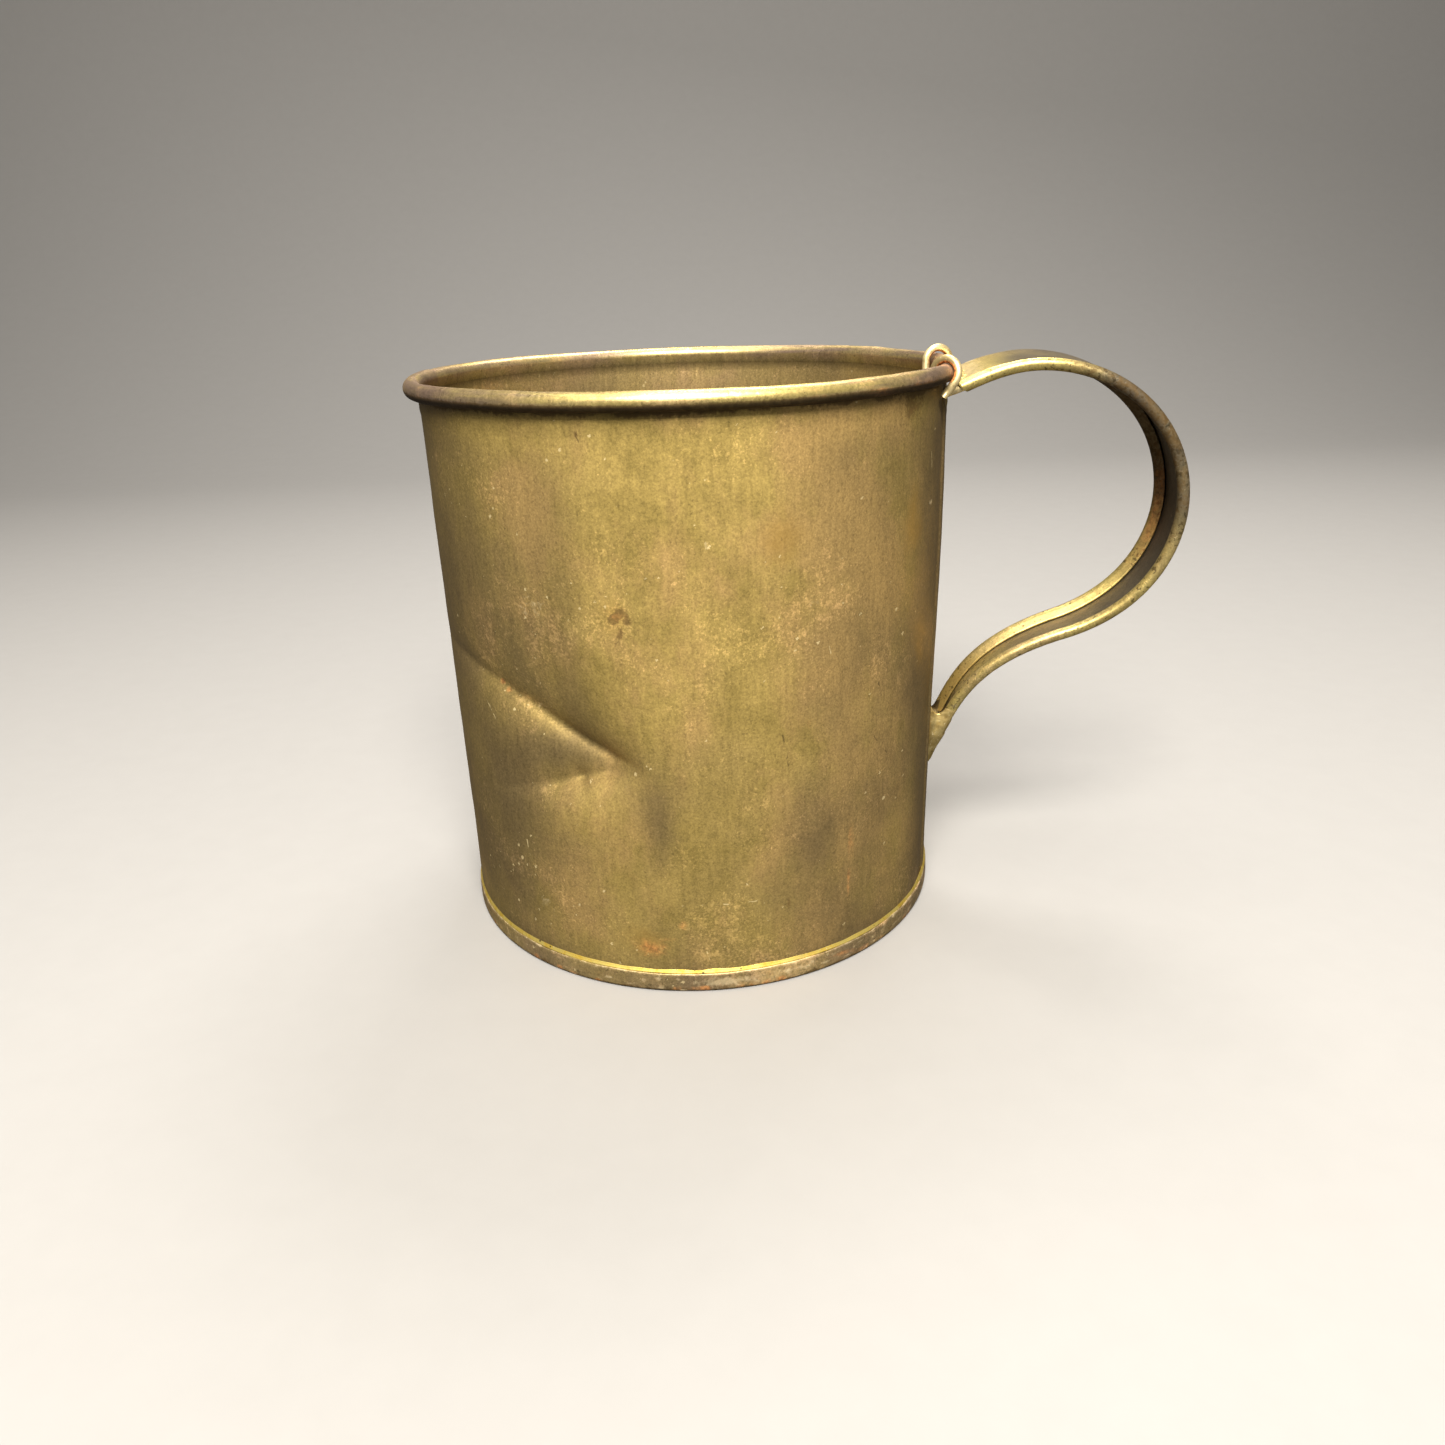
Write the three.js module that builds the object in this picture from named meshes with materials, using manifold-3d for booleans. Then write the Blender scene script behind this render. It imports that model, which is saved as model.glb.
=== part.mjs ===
// A soldered tinplate drinking cup: a sheet wall with a rolled rim, a flanged bottom and a tapered strap
// handle whose edges are rolled over two wires that hook over the rim.
// Millimetres, +Z up. The origin is the centre of the underside, and the handle points along +X.
import * as THREE from "three";
import { mergeVertices } from "three/addons/utils/BufferGeometryUtils.js";
import Module from "manifold-3d";

// Driving dimensions.
const CUP_HEIGHT = 102; // from the table to the top of the rolled rim
const WALL_RADIUS = 46.6; // outside of the sheet wall
const SHEET = 0.3; // tinplate of the wall and the rolled rim
const RIM_BEAD_RADIUS = 1.5; // outside of the roll round the rim wire
const RIM_BEAD_REACH = 0.95; // from the wall's outside to the middle of the roll
const ROLL_GAP = 0.1; // between a wire and the sheet rolled over it
const PAN_SHEET = 0.35; // tinplate of the bottom
const FLANGE_HEIGHT = 3.7; // turned-up edge of the bottom, outside the wall
// The lapped side seam, in degrees about the cup's axis from the handle: where the outer sheet ends and where
// the inner sheet ends.
const LAP_START = -10.6;
const LAP_END = -4.6;
const HANDLE_WIRE_RADIUS = 0.68;
const STRAP_SHEET = 0.27;
const STRAP_TOP_WIDTH = 20.8; // between the two wires' centres, at the strap's upper end
const STRAP_END_WIDTH = 9.2; // the same at its lower end

// Fineness of the facets.
const ROUND_STEPS = 80; // round the cup
const STRAP_STEPS = 34; // along the handle strap
const WIRE_SIDES = 8;

// Sizes that follow from the driving dimensions.
const INNER_RADIUS = WALL_RADIUS - SHEET;
const BEAD_X = WALL_RADIUS + RIM_BEAD_REACH;
const BEAD_Z = CUP_HEIGHT - RIM_BEAD_RADIUS;
const BEAD_INSIDE = RIM_BEAD_RADIUS - SHEET;
const RIM_WIRE_RADIUS = BEAD_INSIDE - ROLL_GAP;
const WALL_FOOT = PAN_SHEET + ROLL_GAP;
const EDGE_INSIDE = HANDLE_WIRE_RADIUS + ROLL_GAP;
const EDGE_RADIUS = EDGE_INSIDE + STRAP_SHEET;

const rad = THREE.MathUtils.degToRad;
const xy = (x, y) => new THREE.Vector2(x, y);

const wasm = await Module();
wasm.setup();

// Materials.
const tin = new THREE.MeshStandardMaterial({ color: 0x7d6b45, roughness: 0.42, metalness: 0.9 });
const innerTin = new THREE.MeshStandardMaterial({ color: 0x74643f, roughness: 0.45, metalness: 0.9 });
const wireSteel = new THREE.MeshStandardMaterial({ color: 0xa98f62, roughness: 0.4, metalness: 0.9 });
const solder = new THREE.MeshStandardMaterial({ color: 0xc2a55c, roughness: 0.35, metalness: 0.9 });

const group = new THREE.Group();

function add(name, geometry, material) {
  const mesh = new THREE.Mesh(geometry, material);
  mesh.name = name;
  group.add(mesh);
}

// Six times the signed volume of an indexed geometry: negative when its faces point inwards.
function signedVolume(geometry) {
  const place = geometry.getAttribute("position");
  const index = geometry.index.array;
  const [a, b, c] = [new THREE.Vector3(), new THREE.Vector3(), new THREE.Vector3()];
  let sum = 0;
  for (let i = 0; i < index.length; i += 3) {
    a.fromBufferAttribute(place, index[i]);
    b.fromBufferAttribute(place, index[i + 1]);
    c.fromBufferAttribute(place, index[i + 2]);
    sum += a.dot(b.cross(c));
  }
  return sum;
}

// A closed solid through rings of points, one after another. With an outline the two ends are capped by its
// triangles, and without one the last ring joins the first.
function loft(rings, outline = null) {
  const count = rings[0].length;
  const positions = rings.flat().flatMap((point) => point.toArray());
  const faces = [];
  const spans = outline ? rings.length - 1 : rings.length;
  for (let i = 0; i < spans; i++) {
    const here = i * count;
    const next = ((i + 1) % rings.length) * count;
    for (let j = 0; j < count; j++) {
      const k = (j + 1) % count;
      faces.push(here + j, here + k, next + k, here + j, next + k, next + j);
    }
  }
  if (outline) {
    const caps = THREE.ShapeUtils.triangulateShape(outline, []);
    const wound = THREE.ShapeUtils.isClockWise(outline);
    const end = (rings.length - 1) * count;
    for (const [p, q, r] of caps) {
      if (wound) faces.push(p, q, r, end + p, end + r, end + q);
      else faces.push(p, r, q, end + p, end + q, end + r);
    }
  }
  const geometry = new THREE.BufferGeometry();
  geometry.setAttribute("position", new THREE.Float32BufferAttribute(positions, 3));
  geometry.setIndex(faces);
  if (signedVolume(geometry) < 0) faces.reverse();
  geometry.setIndex(faces);
  geometry.computeVertexNormals();
  return geometry;
}

// The body that is left when each tool is cut from a geometry.
function cut(geometry, tools) {
  const solidOf = (source) => {
    const bare = new THREE.BufferGeometry();
    bare.setAttribute("position", source.getAttribute("position"));
    bare.setIndex(source.index);
    const merged = mergeVertices(bare, 1e-4);
    return new wasm.Manifold(
      new wasm.Mesh({
        numProp: 3,
        vertProperties: merged.getAttribute("position").array,
        triVerts: new Uint32Array(merged.index.array),
      }),
    );
  };
  let body = solidOf(geometry);
  for (const tool of tools) body = body.subtract(solidOf(tool));
  const mesh = body.getMesh();
  const made = new THREE.BufferGeometry();
  made.setAttribute("position", new THREE.Float32BufferAttribute(mesh.vertProperties, 3));
  made.setIndex(new THREE.Uint32BufferAttribute(mesh.triVerts, 1));
  made.computeVertexNormals();
  return made;
}

// A point given by its distance from the cup's axis, its angle in degrees and its height.
function polar(radius, degrees, z) {
  return new THREE.Vector3(radius * Math.cos(rad(degrees)), radius * Math.sin(rad(degrees)), z);
}

// Points on an arc about a centre, from one angle to another in degrees.
function arc(centre, radius, from, to, steps) {
  return Array.from({ length: steps + 1 }, (_, i) => {
    const angle = rad(from + ((to - from) * i) / steps);
    return xy(centre.x + radius * Math.cos(angle), centre.y + radius * Math.sin(angle));
  });
}

// ---- The cup ----

// The angles of the facets round the cup, with two more at each edge of the lapped seam.
const roundAngles = Array.from({ length: ROUND_STEPS }, (_, i) => (i * 360) / ROUND_STEPS - 180);
roundAngles.push(LAP_START - 0.4, LAP_START, LAP_END, LAP_END + 0.4);
roundAngles.sort((a, b) => a - b);

// The wall's section, as radius and height: up the outside, round the inside of the roll to its free edge,
// back over its outside, and down the inside. The sheet is doubled on the inside along the lap.
function wallSection(lap) {
  const centre = xy(BEAD_X, BEAD_Z);
  const freeEdge = -118;
  const inRoll = 180 + (Math.asin(0.62) * 180) / Math.PI;
  return [
    xy(WALL_RADIUS, WALL_FOOT),
    xy(WALL_RADIUS, CUP_HEIGHT / 2),
    ...arc(centre, BEAD_INSIDE, inRoll, freeEdge, 9),
    ...arc(centre, RIM_BEAD_RADIUS, freeEdge, 185, 10),
    xy(INNER_RADIUS, BEAD_Z - 1.7),
    xy(INNER_RADIUS - lap, BEAD_Z - 2.1),
    xy(INNER_RADIUS - lap, WALL_FOOT),
  ];
}

function cupBody() {
  const rings = roundAngles.map((angle) => {
    const lap = angle >= LAP_START && angle <= LAP_END ? SHEET : 0;
    return wallSection(lap).map((point) => polar(point.x, angle, point.y));
  });
  return cut(loft(rings), [hookHole(FRONT_HOOK), hookHole(REAR_HOOK)]);
}

function rimWire() {
  return new THREE.TorusGeometry(BEAD_X, RIM_WIRE_RADIUS, WIRE_SIDES, ROUND_STEPS).translate(0, 0, BEAD_Z);
}

// A LatheGeometry stood upright, from points given as radius and height.
function turned(points) {
  return new THREE.LatheGeometry(points, ROUND_STEPS).rotateX(Math.PI / 2);
}

function bottomPan() {
  const inside = WALL_RADIUS + ROLL_GAP;
  const outside = inside + PAN_SHEET;
  const corner = 0.7;
  return turned([
    xy(0, 0),
    ...arc(xy(outside - corner, corner), corner, -90, 0, 3),
    xy(outside, FLANGE_HEIGHT),
    xy(inside, FLANGE_HEIGHT),
    xy(inside, PAN_SHEET),
    xy(0, PAN_SHEET),
  ]);
}

function bottomSeamSolder() {
  const foot = FLANGE_HEIGHT + ROLL_GAP;
  const inside = WALL_RADIUS + ROLL_GAP;
  return turned([
    xy(inside, foot),
    xy(inside + 0.4, foot),
    xy(inside + 0.52, foot + 0.22),
    xy(inside + 0.38, foot + 0.5),
    xy(inside, foot + 0.75),
    xy(inside, foot),
  ]);
}

// A bead of solder over the inner sheet's edge, all the way up inside the cup.
function sideSeamSolder() {
  const onLap = INNER_RADIUS - SHEET - 0.15;
  const onWall = INNER_RADIUS - 0.15;
  const section = [
    xy(onLap, LAP_END - 0.7),
    xy(onLap, LAP_END + 0.3),
    xy(onWall, LAP_END + 0.75),
    xy(onWall, LAP_END + 1.7),
    xy(onWall - 0.25, LAP_END + 1.3),
    xy(onLap - 0.25, LAP_END + 0.4),
    xy(onLap - 0.25, LAP_END - 0.3),
  ];
  const ring = (z) => section.map((point) => polar(point.x, point.y, z));
  return loft([ring(PAN_SHEET + 0.6), ring(CUP_HEIGHT - 5)], section);
}

// ---- The handle ----

// The line of the wires, seen from the side: how far out from the wall, and how high. It leaves the wall under
// the rim, rises to a crown, falls round the fingers and sweeps back in to the wall.
const handleLine = new THREE.CurvePath();
handleLine.add(new THREE.CubicBezierCurve(xy(1.7, 97.7), xy(4.8, 99), xy(9.4, 101.3), xy(15, 101.3)));
handleLine.add(new THREE.CubicBezierCurve(xy(15, 101.3), xy(28.9, 101.3), xy(41.1, 90.5), xy(41.1, 76.3)));
handleLine.add(new THREE.CubicBezierCurve(xy(41.1, 76.3), xy(41.1, 70.2), xy(38.2, 58.4), xy(22.6, 53.1)));
handleLine.add(new THREE.CubicBezierCurve(xy(22.6, 53.1), xy(6.8, 47.2), xy(4.6, 39), xy(1.5, 32.6)));

// Where the handle is, a share of the way along it: the place, the outward direction and the half width.
function handleStation(share) {
  const place = handleLine.getPoint(share);
  const along = handleLine.getTangent(share);
  return {
    centre: new THREE.Vector3(WALL_RADIUS + place.x, 0, place.y),
    outward: new THREE.Vector3(-along.y, 0, along.x),
    half: THREE.MathUtils.lerp(STRAP_TOP_WIDTH, STRAP_END_WIDTH, share) / 2,
  };
}

const stations = Array.from({ length: STRAP_STEPS + 1 }, (_, i) => handleStation(i / STRAP_STEPS));

// The strap's section for a half width: across the strip, then outward. Each edge is rolled towards the fingers,
// leaves the wire and runs down in a ramp until its cut edge meets the strip.
function strapSection(half) {
  const leaves = -125;
  const steps = 6;
  const right = xy(half, 0);
  const left = xy(-half, 0);
  const rampFoot = xy(half - 1.85, 0.42);
  const rampBack = xy(half - 1.66, 0.6);
  return [
    ...arc(right, EDGE_RADIUS, 90, leaves, steps),
    rampFoot,
    rampBack,
    ...arc(right, EDGE_INSIDE, leaves, 90, steps),
    ...arc(left, EDGE_INSIDE, 90, 180 - leaves, steps),
    xy(-rampBack.x, rampBack.y),
    xy(-rampFoot.x, rampFoot.y),
    ...arc(left, EDGE_RADIUS, 180 - leaves, 90, steps),
  ];
}

function handleStrap() {
  const across = new THREE.Vector3(0, 1, 0);
  const rings = stations.map(({ centre, outward, half }) =>
    strapSection(half).map((point) =>
      centre.clone().addScaledVector(across, point.x).addScaledVector(outward, point.y),
    ),
  );
  return loft(rings, strapSection(stations[0].half));
}

// The two hooks over the rim: which side of the handle, how many degrees round the cup the cut end lies from the
// handle's middle, and how loosely the wire goes over the rim.
const FRONT_HOOK = { side: -1, tipAngle: 17.6, slack: 0.05 };
const REAR_HOOK = { side: 1, tipAngle: 14.8, slack: 0.25 };
const TURN_RADIUS = 1.5; // of the bend from the hole up the inside of the wall
const LEAD_SLOPE = 20; // degrees that the wire falls from the strap to the hole

// A hook seen from the side: radius and height at each turn of the wire.
function hookOutline({ slack }) {
  const start = handleStation(0);
  const radius = Math.hypot(start.centre.x, start.half);
  const hookRadius = RIM_BEAD_RADIUS + HANDLE_WIRE_RADIUS + slack;
  const legX = BEAD_X - hookRadius;
  const turn = xy(legX + TURN_RADIUS, 0);
  const turnStart = TURN_RADIUS * Math.sin(rad(LEAD_SLOPE));
  const fall = (radius - turn.x - turnStart) * Math.tan(rad(LEAD_SLOPE));
  turn.y = start.centre.z - fall + TURN_RADIUS * Math.cos(rad(LEAD_SLOPE));
  const lead = xy(radius, start.centre.z);
  const tipAngle = -35;
  const tipLength = 2.9;
  const over = arc(xy(BEAD_X, BEAD_Z), hookRadius, 180, tipAngle, 10);
  const last = over.at(-1);
  const tip = xy(last.x + tipLength * Math.sin(rad(tipAngle)), last.y - tipLength * Math.cos(rad(tipAngle)));
  const round = arc(turn, TURN_RADIUS, -90 + LEAD_SLOPE, -180, 5);
  return [lead, xy((lead.x + round[0].x) / 2, (lead.y + round[0].y) / 2), ...round, ...over, tip];
}

// The hook's centre line in space. It drifts sideways as it goes, so the cut end lies beside the lead-in.
function hookPath(hook) {
  const outline = hookOutline(hook);
  const start = handleStation(0);
  const startAngle = (Math.atan2(start.half, start.centre.x) * 180) / Math.PI;
  const lengths = [0];
  for (let i = 1; i < outline.length; i++) lengths.push(lengths[i - 1] + outline[i].distanceTo(outline[i - 1]));
  return outline.map((point, i) => {
    const share = THREE.MathUtils.smoothstep(lengths[i] / lengths.at(-1), 0, 1);
    const angle = THREE.MathUtils.lerp(startAngle, hook.tipAngle, share);
    return polar(point.x, hook.side * angle, point.y);
  });
}

// A round wire along a line of points that stays near one upright plane through the cup's axis or the handle.
function wireAlong(points, radius) {
  const side = new THREE.Vector3(0, 1, 0);
  const outline = arc(xy(0, 0), radius, 0, 360 - 360 / WIRE_SIDES, WIRE_SIDES - 1);
  const rings = points.map((point, i) => {
    const before = points[Math.max(i - 1, 0)];
    const after = points[Math.min(i + 1, points.length - 1)];
    const along = after.clone().sub(before).normalize();
    const across = side.clone().addScaledVector(along, -side.dot(along)).normalize();
    const up = new THREE.Vector3().crossVectors(along, across);
    return outline.map((corner) => point.clone().addScaledVector(across, corner.x).addScaledVector(up, corner.y));
  });
  return loft(rings, outline);
}

function handleWire(hook) {
  const inStrap = stations
    .map(({ centre, half }) => centre.clone().setY(hook.side * half))
    .reverse();
  return wireAlong([...inStrap, ...hookPath(hook).slice(1)], HANDLE_WIRE_RADIUS);
}

// What is drilled from the wall for the wire to pass: the bend of the hook that crosses it, made fatter.
function hookHole(hook) {
  return wireAlong(hookPath(hook).slice(1, 6), HANDLE_WIRE_RADIUS + 0.3);
}

// ---- The handle's solder ----

// How far the round wall has fallen back from the handle's plane, this far to the side.
function fallBack(y) {
  return WALL_RADIUS - Math.sqrt(WALL_RADIUS ** 2 - y ** 2);
}

// A lump on the wall, through outlines given as distance from the wall and height, one for each place across
// it. Points within a millimetre or so of the wall follow its curve.
function lump(slices, capOutline) {
  const rings = slices.map(({ y, outline }) =>
    outline.map((point) => {
      const hold = 1 - THREE.MathUtils.clamp(point.x / 3, 0, 1);
      return new THREE.Vector3(WALL_RADIUS + point.x - hold * fallBack(y), y, point.y);
    }),
  );
  return loft(rings, capOutline);
}

// An outline drawn in towards an anchor.
function drawnIn(outline, anchor, share) {
  return outline.map((point) => point.clone().sub(anchor).multiplyScalar(share).add(anchor));
}

function handleTopSolder() {
  const anchor = xy(0.3, 98);
  const outline = [
    xy(0.2, 88),
    xy(0.6, 91.5),
    xy(0.95, 95),
    xy(1.7, 96.6),
    xy(3.2, 97.9),
    xy(3, 98.25),
    xy(1.6, 97.9),
    xy(0.2, 98.3),
  ];
  const halfWidth = 7.5;
  const slices = [-7, -5, -2.5, 0, 2.5, 5, 7].map((y) => ({
    y,
    outline: drawnIn(outline, anchor, Math.sqrt(1 - (y / halfWidth) ** 2)),
  }));
  return lump(slices, outline);
}

function handleBottomSolder() {
  const anchor = xy(0.2, 30);
  const underStrap = [
    xy(0.2, 27.4),
    xy(2.05, 31.7),
    xy(1.95, 32.2),
    xy(3.9, 36.5),
    xy(2.9, 36.4),
    xy(1.5, 37),
    xy(0.2, 38.2),
  ];
  const besideStrap = [
    xy(0.2, 27.4),
    xy(1.95, 31.5),
    xy(1.75, 31.7),
    xy(0.35, 32.1),
    xy(0.32, 32.4),
    xy(0.28, 32.7),
    xy(0.2, 33),
  ];
  const slices = [
    { y: 6.9, outline: drawnIn(besideStrap, anchor, 0.45) },
    { y: 5.8, outline: drawnIn(besideStrap, anchor, 0.9) },
    { y: 2.7, outline: besideStrap },
    { y: 2.3, outline: underStrap },
    { y: 0, outline: underStrap },
  ];
  const mirrored = slices.slice(0, -1).map(({ y, outline }) => ({ y: -y, outline }));
  return lump([...mirrored, ...slices.reverse()], underStrap);
}

add("cup_body", cupBody(), tin);
add("rim_wire", rimWire(), wireSteel);
add("bottom_pan", bottomPan(), innerTin);
add("bottom_seam_solder", bottomSeamSolder(), solder);
add("side_seam_solder", sideSeamSolder(), solder);
add("handle_strap", handleStrap(), tin);
add("handle_wire_front", handleWire(FRONT_HOOK), wireSteel);
add("handle_wire_rear", handleWire(REAR_HOOK), wireSteel);
add("handle_top_solder", handleTopSolder(), solder);
add("handle_bottom_solder", handleBottomSolder(), solder);

export default group;
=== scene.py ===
"""An old soldered tinplate drinking cup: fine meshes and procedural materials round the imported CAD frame.

Lengths are in millimetres until a mesh is made. The cup's axis is Z and the handle points along +X. Places on
the wall are given as an angle about the axis, in degrees from the handle, and a height.
"""

import math

import bpy
import numpy as np
from mathutils import Matrix, Vector


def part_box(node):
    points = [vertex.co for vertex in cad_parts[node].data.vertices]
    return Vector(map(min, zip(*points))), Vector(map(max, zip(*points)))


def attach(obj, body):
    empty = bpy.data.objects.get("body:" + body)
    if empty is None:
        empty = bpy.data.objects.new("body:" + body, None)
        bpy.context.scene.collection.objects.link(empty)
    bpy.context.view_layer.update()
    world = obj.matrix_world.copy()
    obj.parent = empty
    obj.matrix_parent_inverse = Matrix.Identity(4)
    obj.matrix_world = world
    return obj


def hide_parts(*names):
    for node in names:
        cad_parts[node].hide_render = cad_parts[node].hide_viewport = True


MM = 0.001

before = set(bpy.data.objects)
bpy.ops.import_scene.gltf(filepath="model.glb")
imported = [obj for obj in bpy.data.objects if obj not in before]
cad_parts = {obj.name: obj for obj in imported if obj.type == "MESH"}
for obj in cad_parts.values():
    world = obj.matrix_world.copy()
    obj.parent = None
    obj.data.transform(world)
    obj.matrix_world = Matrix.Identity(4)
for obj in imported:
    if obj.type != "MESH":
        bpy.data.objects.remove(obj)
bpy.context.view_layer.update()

# ---- Sizes, the same as in the CAD ----
CUP_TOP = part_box("cup_body")[1].z / MM
RIM_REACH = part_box("cup_body")[1].x / MM
SHEET = 0.3
BEAD_RADIUS = 1.5
BEAD_INSIDE = BEAD_RADIUS - SHEET
BEAD_X = RIM_REACH - BEAD_RADIUS
BEAD_Z = CUP_TOP - BEAD_RADIUS
RIM_WIRE = 1.08
# In degrees about the rim wire: where the roll leaves the wall, outside and inside, and where it ends.
ROLL_FROM = 187
ROLL_FROM_INSIDE = 216
ROLL_END = -118
WALL = BEAD_X - 0.95
WALL_FOOT = 0.45
LAP_START = -10.6
LAP_END = -4.6
PAN_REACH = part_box("bottom_pan")[1].x / MM
FLANGE_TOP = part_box("bottom_pan")[1].z / MM
PAN_SHEET = 0.35
WIRE = 0.68
STRAP_SHEET = 0.27
EDGE_INSIDE = WIRE + 0.1
EDGE_RADIUS = EDGE_INSIDE + STRAP_SHEET
STRAP_TOP_HALF = 10.4
STRAP_END_HALF = 4.6
STRIP_MIDDLE = (EDGE_INSIDE + EDGE_RADIUS) / 2


# ---- Small helpers ----


def smooth(low, high, x):
    """0 at low, 1 at high, and an eased step between. Low may be above high."""
    t = np.clip((np.asarray(x, float) - low) / (high - low), 0, 1)
    return t * t * (3 - 2 * t)


def bump(x, centre, width):
    """A bell of height 1 round a centre."""
    return np.exp(-(((np.asarray(x, float) - centre) / width) ** 2))


def waves(a, b, scale, seed, count=14):
    """A gentle random field from about -1 to 1 over two coordinates, with features of about this scale."""
    rng = np.random.default_rng(seed)
    total = np.zeros(np.broadcast(a, b).shape)
    for _ in range(count):
        turn = rng.uniform(0, 2 * math.pi)
        step = rng.uniform(0.6, 1.6) * 2 * math.pi / scale
        phase = rng.uniform(0, 2 * math.pi)
        total += np.sin(step * (a * math.cos(turn) + b * math.sin(turn)) + phase)
    return total / math.sqrt(count)


def waves_along(a, scale, seed):
    """The same along one coordinate."""
    return waves(a, 0 * a, scale, seed)


def spaced(low, high, spacing):
    """Places from low to high, with the spacing that the function gives at each."""
    fine = np.linspace(low, high, 4000)
    count = np.concatenate([[0], np.cumsum(np.diff(fine) / spacing((fine[1:] + fine[:-1]) / 2))])
    steps = int(math.ceil(count[-1]))
    return np.interp(np.linspace(0, count[-1], steps + 1), count, fine)


def full_turn(steps):
    """Angles all the way round, without the last one, which is the first again."""
    return np.linspace(-180, 180, steps + 1)[:-1]


def arc(cx, cy, radius, start, end, steps):
    """Points on an arc, from one angle to another in degrees."""
    angles = np.radians(np.linspace(start, end, steps + 1))
    return np.stack([cx + radius * np.cos(angles), cy + radius * np.sin(angles)], -1)


def polar(radius, degrees, z):
    """Points from a distance to the cup's axis, an angle about it and a height."""
    angle = np.radians(degrees)
    return np.stack(np.broadcast_arrays(radius * np.cos(angle), radius * np.sin(angle), z), -1)


def length_along(line):
    """The distance along a line to each of its points."""
    return np.concatenate([[0], np.cumsum(np.hypot(*np.diff(line, axis=0).T))])


def unit(vectors):
    return vectors / np.linalg.norm(vectors, axis=1, keepdims=True)


def grid_faces(rows, columns, close_rows, close_columns=True):
    """The quads of a grid of points, each row joined to the next."""
    i = np.arange(rows if close_rows else rows - 1)
    j = np.arange(columns if close_columns else columns - 1)
    row, column = np.meshgrid(i, j, indexing="ij")
    below = (row + 1) % rows
    right = (column + 1) % columns
    corners = [(row, column), (row, right), (below, right), (below, column)]
    return np.stack([a * columns + b for a, b in corners], -1).reshape(-1, 4)


def end_caps(rows, columns):
    """The two flat ends of a grid whose rows are closed rings."""
    last = (rows - 1) * columns
    return [list(range(columns)), list(reversed(range(last, last + columns)))]


def signed_volume(points, quads):
    """Positive where the faces of a closed mesh point outwards."""
    a, b, c, d = (points[quads[:, k]] for k in range(4))
    return float(np.sum(np.einsum("ij,ij->i", a, np.cross(b, c) + np.cross(c, d))))


def make_piece(name, points, quads, materials, fields=None, caps=(), slots=None):
    """A smooth-shaded mesh object from points in millimetres. Fields are named values at each point."""
    points = np.asarray(points, float).reshape(-1, 3)
    faces = quads.tolist()
    caps = list(caps)
    if signed_volume(points, quads) < 0:
        faces = [face[::-1] for face in faces]
        caps = [cap[::-1] for cap in caps]
    mesh = bpy.data.meshes.new(name)
    mesh.from_pydata((points * MM).tolist(), [], faces + caps)
    for material in materials:
        mesh.materials.append(material)
    if slots is not None:
        mesh.polygons.foreach_set("material_index", slots)
    mesh.polygons.foreach_set("use_smooth", [True] * len(faces) + [False] * len(caps))
    for label, values in (fields or {}).items():
        attribute = mesh.attributes.new(label, "FLOAT", "POINT")
        attribute.data.foreach_set("value", np.asarray(values, np.float32).ravel())
    mesh.update()
    piece = bpy.data.objects.new(name, mesh)
    bpy.context.scene.collection.objects.link(piece)
    return piece


def loft(name, points, material, fields):
    """A piece through closed rings of points, one after another, with a flat cap at each end."""
    size = points.shape[:2]
    return make_piece(name, points, grid_faces(*size, False), [material], fields, end_caps(*size))


def stand_for(piece, slot, *nodes):
    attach(piece, "root")
    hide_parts(*nodes)


# ---- Materials ----

# Old metal doesn't flare at grazing angles as clean metal does.
GRAZING_TINT = (0.60, 0.50, 0.40)
DARK = (0.055, 0.038, 0.018)
PALE = (0.86, 0.70, 0.38)
CREAM = (0.86, 0.70, 0.42)
RUST = (0.42, 0.175, 0.050)
RUST_DARK = (0.13, 0.045, 0.014)
BROWN = (0.085, 0.050, 0.016)
OCHRE = (0.36, 0.215, 0.048)
# The colour of painted shade.
PAINTED_SHADE_COLOUR = (0.018, 0.012, 0.006)
SOLDER_SHADE_COLOUR = (0.035, 0.018, 0.008)


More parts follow.
